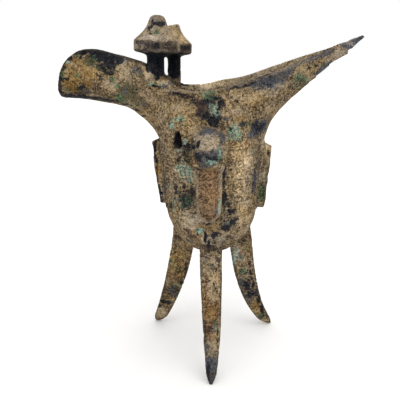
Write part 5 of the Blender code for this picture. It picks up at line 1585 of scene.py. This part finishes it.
def grain(tree, scale, detail=3.0, roughness=0.6, shift=0.0, bent=0.0):
    """Noise on the object's own coordinates, bent into streaks. Each shift is a new pattern."""
    place = node(tree, "ShaderNodeTexCoord").outputs["Object"]
    moved = node(tree, "ShaderNodeVectorMath", operation="ADD")
    tree.links.new(place, moved.inputs[0])
    moved.inputs[1].default_value = (shift, 2 * shift, -shift)
    made = node(tree, "ShaderNodeTexNoise")
    tree.links.new(moved.outputs[0], made.inputs["Vector"])
    given = {"Scale": scale, "Detail": detail, "Roughness": roughness, "Distortion": bent}
    for name, value in given.items():
        feed(tree, made.inputs[name], value)
    return made.outputs["Fac"]


def blend(tree, factor, below, above, how="MIX"):
    """One colour over another."""
    made = node(tree, "ShaderNodeMix", data_type="RGBA", blend_type=how)
    for name, given in (("Factor", factor), ("A", below), ("B", above)):
        sockets = [s for s in made.inputs if s.name == name and s.enabled]
        feed(tree, sockets[0], given)
    return [s for s in made.outputs if s.enabled][0]


def cells(tree, scale):
    """A random value in each Voronoi cell, its coordinates bent by a fine noise."""
    place = node(tree, "ShaderNodeTexCoord").outputs["Object"]
    bent = node(tree, "ShaderNodeVectorMath", operation="MULTIPLY_ADD")
    noise = node(tree, "ShaderNodeTexNoise")
    tree.links.new(place, noise.inputs["Vector"])
    noise.inputs["Scale"].default_value = 2 * scale
    tree.links.new(noise.outputs["Color"], bent.inputs[0])
    bent.inputs[1].default_value = (1.2 / scale,) * 3
    tree.links.new(place, bent.inputs[2])
    made = node(tree, "ShaderNodeTexVoronoi", feature="F1")
    tree.links.new(bent.outputs[0], made.inputs["Vector"])
    made.inputs["Scale"].default_value = scale
    return calc(tree, "MULTIPLY", made.outputs["Color"], 1.0)


def field(tree, name):
    """A vertex attribute as a number."""
    return node(tree, "ShaderNodeAttribute", attribute_name=name).outputs["Fac"]


def group(name, inputs, outputs):
    """An empty node group with float sockets, its input node and its output node."""
    tree = bpy.data.node_groups.new(name, "ShaderNodeTree")
    for title, value in inputs:
        kind = "NodeSocketVector" if value is None else "NodeSocketFloat"
        socket = tree.interface.new_socket(title, in_out="INPUT", socket_type=kind)
        if value is not None:
            socket.default_value = value
    for title in outputs:
        tree.interface.new_socket(title, in_out="OUTPUT", socket_type="NodeSocketFloat")
    return tree, node(tree, "NodeGroupInput").outputs, node(tree, "NodeGroupOutput").inputs


def place_group(tree, shared, **values):
    """A group node with its inputs fed. Underscores in the names stand for spaces."""
    made = node(tree, "ShaderNodeGroup", node_tree=shared)
    for name, value in values.items():
        feed(tree, made.inputs[name.replace("_", " ")], value)
    return made.outputs


print("node helpers ready")

# %% Groups that the patina uses
# Rows: scale per metre, share of the tone, shift, bend
CRUST_NOISE = ((60.0, 1.1, 0.0, 0.5), (240.0, 0.95, 0.3, 1.8), (1000.0, 2.5, 0.7, 1.2))
# Rows: scale per metre, share of the tone
CRUST_CELLS = ((700.0, 0.40), (1300.0, 0.75))


def ragged_patch():
    """Field plus noise about its middle, through a narrow smooth step at one half."""
    inputs = (("Field", 0.0), ("Scale", 300.0), ("Reach", 1.0), ("Edge", 0.16))
    tree, given, out = group("ragged patch", inputs, ("Mask",))
    fine_scale = calc(tree, "MULTIPLY", given["Scale"], 3.5)
    coarse = grain(tree, given["Scale"], 3.0, 0.6)
    rough = calc(tree, "ADD", coarse, grain(tree, fine_scale, 2.0, 0.6))
    centred = calc(tree, "SUBTRACT", rough, 1.0)
    total = calc(tree, "MULTIPLY_ADD", centred, given["Reach"], given["Field"])
    low = calc(tree, "SUBTRACT", 0.5, given["Edge"])
    high = calc(tree, "ADD", 0.5, given["Edge"])
    feed(tree, out["Mask"], spread(tree, total, low, high))
    return tree


def crust_grain():
    """Tone sums noises and cells about one half. Pits and Crumbs are ends of finer noises."""
    outputs = ("Tone", "Pits", "Crumbs", "Height")
    tree, given, out = group("crust grain", (("Contrast", 1.0),), outputs)
    total = 0.5
    parts = [(grain(tree, row[0], 3.0, 0.6, *row[2:]), row[1]) for row in CRUST_NOISE]
    parts += [(cells(tree, scale), share) for scale, share in CRUST_CELLS]
    for value, share in parts:
        weight = calc(tree, "MULTIPLY", given["Contrast"], share)
        total = calc(tree, "MULTIPLY_ADD", calc(tree, "SUBTRACT", value, 0.5), weight, total)
    feed(tree, out["Tone"], total)
    fine = grain(tree, 750.0, 2.5, 0.6, 1.3, 1.5)
    flock = calc(tree, "MULTIPLY_ADD", grain(tree, 130.0, 3.0, 0.65, 5.1), 0.5, -0.25)
    feed(tree, out["Pits"], spread(tree, calc(tree, "ADD", fine, flock), 0.43, 0.36))
    crumbs = calc(tree, "SUBTRACT", grain(tree, 700.0, 2.5, 0.6, 2.1, 1.5), flock)
    feed(tree, out["Crumbs"], spread(tree, crumbs, 0.57, 0.66))
    coarse = grain(tree, 420.0, 4.0, 0.65, 3.1, 0.8)
    feed(tree, out["Height"], calc(tree, "MULTIPLY_ADD", fine, 0.6, coarse))
    return tree


def squared_spirals():
    """As squared_spiral: frac(turns * max(|a|, |b|) + angle / 2 pi), folded about one half."""
    tree, given, out = group("squared spirals", (("Place", None),), ("Groove",))
    parts = node(tree, "ShaderNodeSeparateXYZ")
    tree.links.new(given["Place"], parts.inputs[0])
    steps = [calc(tree, "DIVIDE", parts.outputs[axis], SPIRAL_CELL) for axis in (0, 1)]
    whole = [calc(tree, "FLOOR", step) for step in steps]
    within = [calc(tree, "SUBTRACT", step, floor) for step, floor in zip(steps, whole)]
    a, b = [calc(tree, "MULTIPLY_ADD", part, 2.0, -1.0) for part in within]
    odd = calc(tree, "FLOORED_MODULO", calc(tree, "ADD", *whole), 2.0)
    a = calc(tree, "MULTIPLY", a, calc(tree, "MULTIPLY_ADD", odd, -2.0, 1.0))
    ring = calc(tree, "MAXIMUM", calc(tree, "ABSOLUTE", a), calc(tree, "ABSOLUTE", b))
    turn = calc(tree, "DIVIDE", calc(tree, "ARCTAN2", b, a), 2 * math.pi)
    wave = calc(tree, "FLOORED_MODULO", calc(tree, "MULTIPLY_ADD", ring, SPIRAL_TURNS, turn), 1.0)
    folded = calc(tree, "ABSOLUTE", calc(tree, "MULTIPLY_ADD", wave, 2.0, -1.0))
    feed(tree, out["Groove"], spread(tree, folded, 0.25, 0.6))
    return tree


patch_group, grain_group, spiral_group = ragged_patch(), crust_grain(), squared_spirals()
print("groups:", [shared.name for shared in bpy.data.node_groups])

# %% Colours
# Soil and crust, from deep to light
CRUST_TONES = (
    (0.05, (0.026, 0.019, 0.012)),
    (0.30, (0.090, 0.061, 0.032)),
    (0.52, (0.198, 0.140, 0.076)),
    (0.92, (0.365, 0.276, 0.164)),
)
# Two tones of each mineral, the scale per metre of the noise that tears its edge, and how far that
# noise reaches into the field. Dark and pale also carry painted shade and painted light.
MINERALS_AND_PAINTED_LIGHT = {
    "rust": ((0.042, 0.025, 0.014), (0.240, 0.150, 0.086), 260.0, 0.8),
    "brown": ((0.024, 0.017, 0.015), (0.085, 0.057, 0.045), 300.0, 1.3),
    "ochre": ((0.105, 0.064, 0.026), (0.275, 0.185, 0.080), 380.0, 1.6),
    "olive": ((0.030, 0.028, 0.015), (0.115, 0.100, 0.052), 300.0, 1.6),
    "slate": ((0.034, 0.033, 0.036), (0.108, 0.103, 0.100), 360.0, 1.2),
    "pale": ((0.170, 0.128, 0.080), (0.380, 0.305, 0.205), 400.0, 1.6),
    "dark": ((0.002, 0.004, 0.007), (0.032, 0.031, 0.035), 480.0, 1.5),
    "green": ((0.030, 0.056, 0.030), (0.110, 0.180, 0.100), 650.0, 2.0),
    "turquoise": ((0.090, 0.130, 0.100), (0.270, 0.400, 0.310), 650.0, 2.0),
}


SMOOTH_MINERALS = ("rust", "brown", "slate", "dark")
SPECKS = ("green", "turquoise")
# Convex edges: a dark tone, and a light tone that is a painted highlight
EDGE_DARK_AND_HIGHLIGHT_TONES = ((0.030, 0.025, 0.021), (0.27, 0.21, 0.14))
GROOVE_TONE = (0.028, 0.022, 0.017)
# Painted shade laid in concave places
HOLLOW_SHADE_TONE = (0.018, 0.015, 0.013)
CRUMB_TONE = (0.26, 0.20, 0.125)
PIT_TONE = (0.014, 0.012, 0.011)
GROOVE_SHARE = 0.5
HOLLOW_SHADE_SHARE = 0.55
PIT_SHARE = 0.75
# Halvings or doublings of light in a full stain, then the change of red, green and blue with warmth
LIGHT_STOPS = 1.2
WARM_TINT = (0.11, 0.0, -0.26)
WARM_DRIFT = 3.0
# Share of the crumbs on the soil, and how much of it the dark field takes away, on dark patina and
# on painted shade alike
CRUMB_SHARE = 0.42
CRUMBS_OFF_DARK = -0.41
ROUGHNESS = (0.9, 0.62)
SPECULAR = 0.04
BUMP_HEIGHT = 0.00035
BUMP_STRENGTH = 0.8
GROOVE_BUMP = -0.5
print("minerals over the crust:", list(MINERALS_AND_PAINTED_LIGHT))

# %% The patina


def rgb(colour):
    """The colour with full opacity."""
    return (*colour, 1.0)


def soil(tree, tone):
    """The crust's own tones along a ramp."""
    ramp = node(tree, "ShaderNodeValToRGB")
    feed(tree, ramp.inputs["Fac"], tone)
    stops = ramp.color_ramp.elements
    while len(stops) < len(CRUST_TONES):
        stops.new(0.5)
    for stop, (at, colour) in zip(stops, CRUST_TONES):
        stop.position = at
        stop.color = rgb(colour)
    return ramp.outputs["Color"]


def with_minerals_and_painted_light(tree, colour, tone):
    """Each mineral, with the painted shade and light it carries, laid over the ones before it, and
    the masks they were laid through.
    """
    masks = {}
    for kind, (deep, light, scale, reach) in MINERALS_AND_PAINTED_LIGHT.items():
        amount = field(tree, kind)
        if kind in SPECKS:
            reach = spread(tree, amount, 0.0, 0.3, 0.0, reach)
        patch = place_group(tree, patch_group, Field=amount, Scale=scale, Reach=reach)
        masks[kind] = patch["Mask"]
        own = blend(tree, spread(tree, tone, 0.1, 0.9), rgb(deep), rgb(light))
        colour = blend(tree, masks[kind], colour, own)
    return colour, masks


def with_stains_and_painted_light(tree, colour):
    """Colour times 2^(stops), with red raised and blue lowered by warmth."""
    stops = calc(tree, "MULTIPLY", field(tree, "stain_and_painted_light"), LIGHT_STOPS)
    light = calc(tree, "POWER", 2.0, stops)
    drift = calc(tree, "SUBTRACT", grain(tree, 85.0, 4.0, 0.6, 6.3), 0.5)
    warm = calc(tree, "MULTIPLY_ADD", drift, WARM_DRIFT, field(tree, "stain_and_painted_shade_warmth"))
    tint = node(tree, "ShaderNodeCombineXYZ")
    for socket, share in zip(tint.inputs, WARM_TINT):
        change = calc(tree, "MULTIPLY_ADD", warm, share, 1.0)
        feed(tree, socket, calc(tree, "MULTIPLY", light, change))
    return blend(tree, 1.0, colour, tint.outputs[0], "MULTIPLY")


def spiral_grooves(tree):
    """The squared spirals' grooves on the band, worn away in places."""
    place = node(tree, "ShaderNodeAttribute", attribute_name="own_place").outputs["Vector"]
    groove = place_group(tree, spiral_group, Place=place)["Groove"]
    worn = spread(tree, grain(tree, 110.0, 3.0, 0.6, 4.2), 0.38, 0.56)
    return calc(tree, "MULTIPLY", calc(tree, "MULTIPLY", groove, field(tree, "band")), worn)


def with_wear_and_painted_light(tree, colour, groove, crumbs, pits):
    """Dark grooves, painted shade in the hollows, convex edges darkened or lightened as a painted
    highlight, then crumbs of soil and pits, each over the last.
    """
    bulge = field(tree, "bulge")
    # Painted shade: concave places take the dark hollow tone.
    low = spread(tree, bulge, 0.42, 0.12, 0.0, HOLLOW_SHADE_SHARE)
    # Convex edges: dark, stronger on the legs and the spout; a painted highlight on the rim, caps
    # and strap.
    worn = calc(tree, "MULTIPLY", spread(tree, bulge, 0.6, 0.85), field(tree, "edge_amount"))
    dull, bright = [rgb(tone) for tone in EDGE_DARK_AND_HIGHLIGHT_TONES]
    edge_tone = blend(tree, field(tree, "edge_highlight"), dull, bright)
    layers = (
        (calc(tree, "MULTIPLY", groove, GROOVE_SHARE), rgb(GROOVE_TONE)),
        (low, rgb(HOLLOW_SHADE_TONE)),
        (worn, edge_tone),
        (crumbs, rgb(CRUMB_TONE)),
        (calc(tree, "MULTIPLY", pits, PIT_SHARE), rgb(PIT_TONE)),
    )
    for factor, tone in layers:
        colour = blend(tree, factor, colour, tone)
    return colour


def patina():
    """Crust below, then each mineral and painted light over it, then grooves, painted shade in
    hollows, darkened and highlighted edges, crumbs and pits.
    """
    material = bpy.data.materials.new("buried_bronze_patina")
    material.use_nodes = True
    tree = material.node_tree
    shader = tree.nodes["Principled BSDF"]
    grains = place_group(tree, grain_group, Contrast=1.0)
    colour, masks = with_minerals_and_painted_light(tree, soil(tree, grains["Tone"]), grains["Tone"])
    off_dark = calc(tree, "MULTIPLY_ADD", masks["dark"], CRUMBS_OFF_DARK, CRUMB_SHARE)
    crumbs = calc(tree, "MULTIPLY", grains["Crumbs"], off_dark)
    groove = spiral_grooves(tree)
    colour = with_wear_and_painted_light(tree, with_stains_and_painted_light(tree, colour), groove, crumbs, grains["Pits"])
    feed(tree, shader.inputs["Base Color"], colour)
    smooth = 0.0
    for kind in SMOOTH_MINERALS:
        smooth = calc(tree, "MAXIMUM", smooth, masks[kind])
    feed(tree, shader.inputs["Roughness"], spread(tree, smooth, 0.0, 1.0, *ROUGHNESS))
    shader.inputs["Specular IOR Level"].default_value = SPECULAR
    bump = node(tree, "ShaderNodeBump")
    bump.inputs["Distance"].default_value = BUMP_HEIGHT
    bump.inputs["Strength"].default_value = BUMP_STRENGTH
    height = calc(tree, "MULTIPLY_ADD", groove, GROOVE_BUMP, grains["Height"])
    feed(tree, bump.inputs["Height"], height)
    feed(tree, shader.inputs["Normal"], bump.outputs["Normal"])
    return material


skin.materials.clear()
skin.materials.append(patina())
skin.shade_smooth()
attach(jue, "root")
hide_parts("jue")
print("nodes in the patina:", len(bpy.data.materials["buried_bronze_patina"].node_tree.nodes))

# %% [markdown]
# ## Studio
#
# The cup stands on a white floor in even, soft light that comes mostly from above, so only a faint
# shadow lies between the feet. The camera looks a little down on the handle's side.

# %% Floor and light
FLOOR_HALF = 3.0
FLOOR_TONES = ((0.83, 0.825, 0.817), (0.843, 0.838, 0.83))
SUN_ANGLE = math.radians(60)


def pale_floor():
    """A square on the plane z = 0, with a faint grain so that it isn't one flat value."""
    s = FLOOR_HALF
    mesh = bpy.data.meshes.new("floor")
    mesh.from_pydata([(-s, -s, 0), (s, -s, 0), (s, s, 0), (-s, s, 0)], [], [(0, 1, 2, 3)])
    material = bpy.data.materials.new("pale_paper")
    material.use_nodes = True
    tree = material.node_tree
    shader = tree.nodes["Principled BSDF"]
    mottle = spread(tree, grain(tree, 40.0), 0.3, 0.7)
    tones = [rgb(tone) for tone in FLOOR_TONES]
    feed(tree, shader.inputs["Base Color"], blend(tree, mottle, *tones))
    shader.inputs["Roughness"].default_value = 0.9
    shader.inputs["Specular IOR Level"].default_value = 0.1
    mesh.materials.append(material)
    add_object("floor", mesh)


def soft_light(name, place, target, size, watts):
    """A round area light turned towards its target."""
    light = bpy.data.lights.new(name, "AREA")
    light.shape = "DISK"
    light.size = size
    light.energy = watts
    made = add_object(name, light)
    made.location = place
    made.rotation_euler = Vector(np.subtract(target, place)).to_track_quat("-Z", "Y").to_euler()


def broad_sun(name, place, strength):
    """A sun lamp as wide as a large soft box, shining from this place to the origin."""
    light = bpy.data.lights.new(name, "SUN")
    light.angle = SUN_ANGLE
    light.energy = strength
    made = add_object(name, light)
    made.location = place
    made.rotation_euler = Vector(place).to_track_quat("Z", "Y").to_euler()


pale_floor()
broad_sun("above", (0.12, -0.2, 1.0), 1.3)
soft_light("front", (0.3, -1.2, 0.6), (0, 0, 0.1), 0.8, 1.5)
world = bpy.data.worlds.new("studio")
world.use_nodes = True
world.node_tree.nodes["Background"].inputs["Color"].default_value = (1.0, 1.0, 1.0, 1.0)
world.node_tree.nodes["Background"].inputs["Strength"].default_value = 1.0
scene = bpy.context.scene
scene.world = world
scene.view_settings.view_transform = "Standard"

# %% Camera
CAMERA_PLACE = (0.0078, -0.2697, 0.1833)
CAMERA_AIM = (-0.043, 0.954, -0.297)
LENS = 43.65

lens = bpy.data.cameras.new("camera")
lens.lens = LENS
lens.clip_start = 0.01
camera = add_object("camera", lens)
ahead = Vector(CAMERA_AIM).normalized()
right = ahead.cross(Vector((0, 0, 1))).normalized()
turn = Matrix((right, right.cross(ahead), -ahead)).transposed().to_4x4()
camera.matrix_world = Matrix.Translation(CAMERA_PLACE) @ turn
scene.camera = camera
print("camera:", [round(v, 3) for v in camera.location])
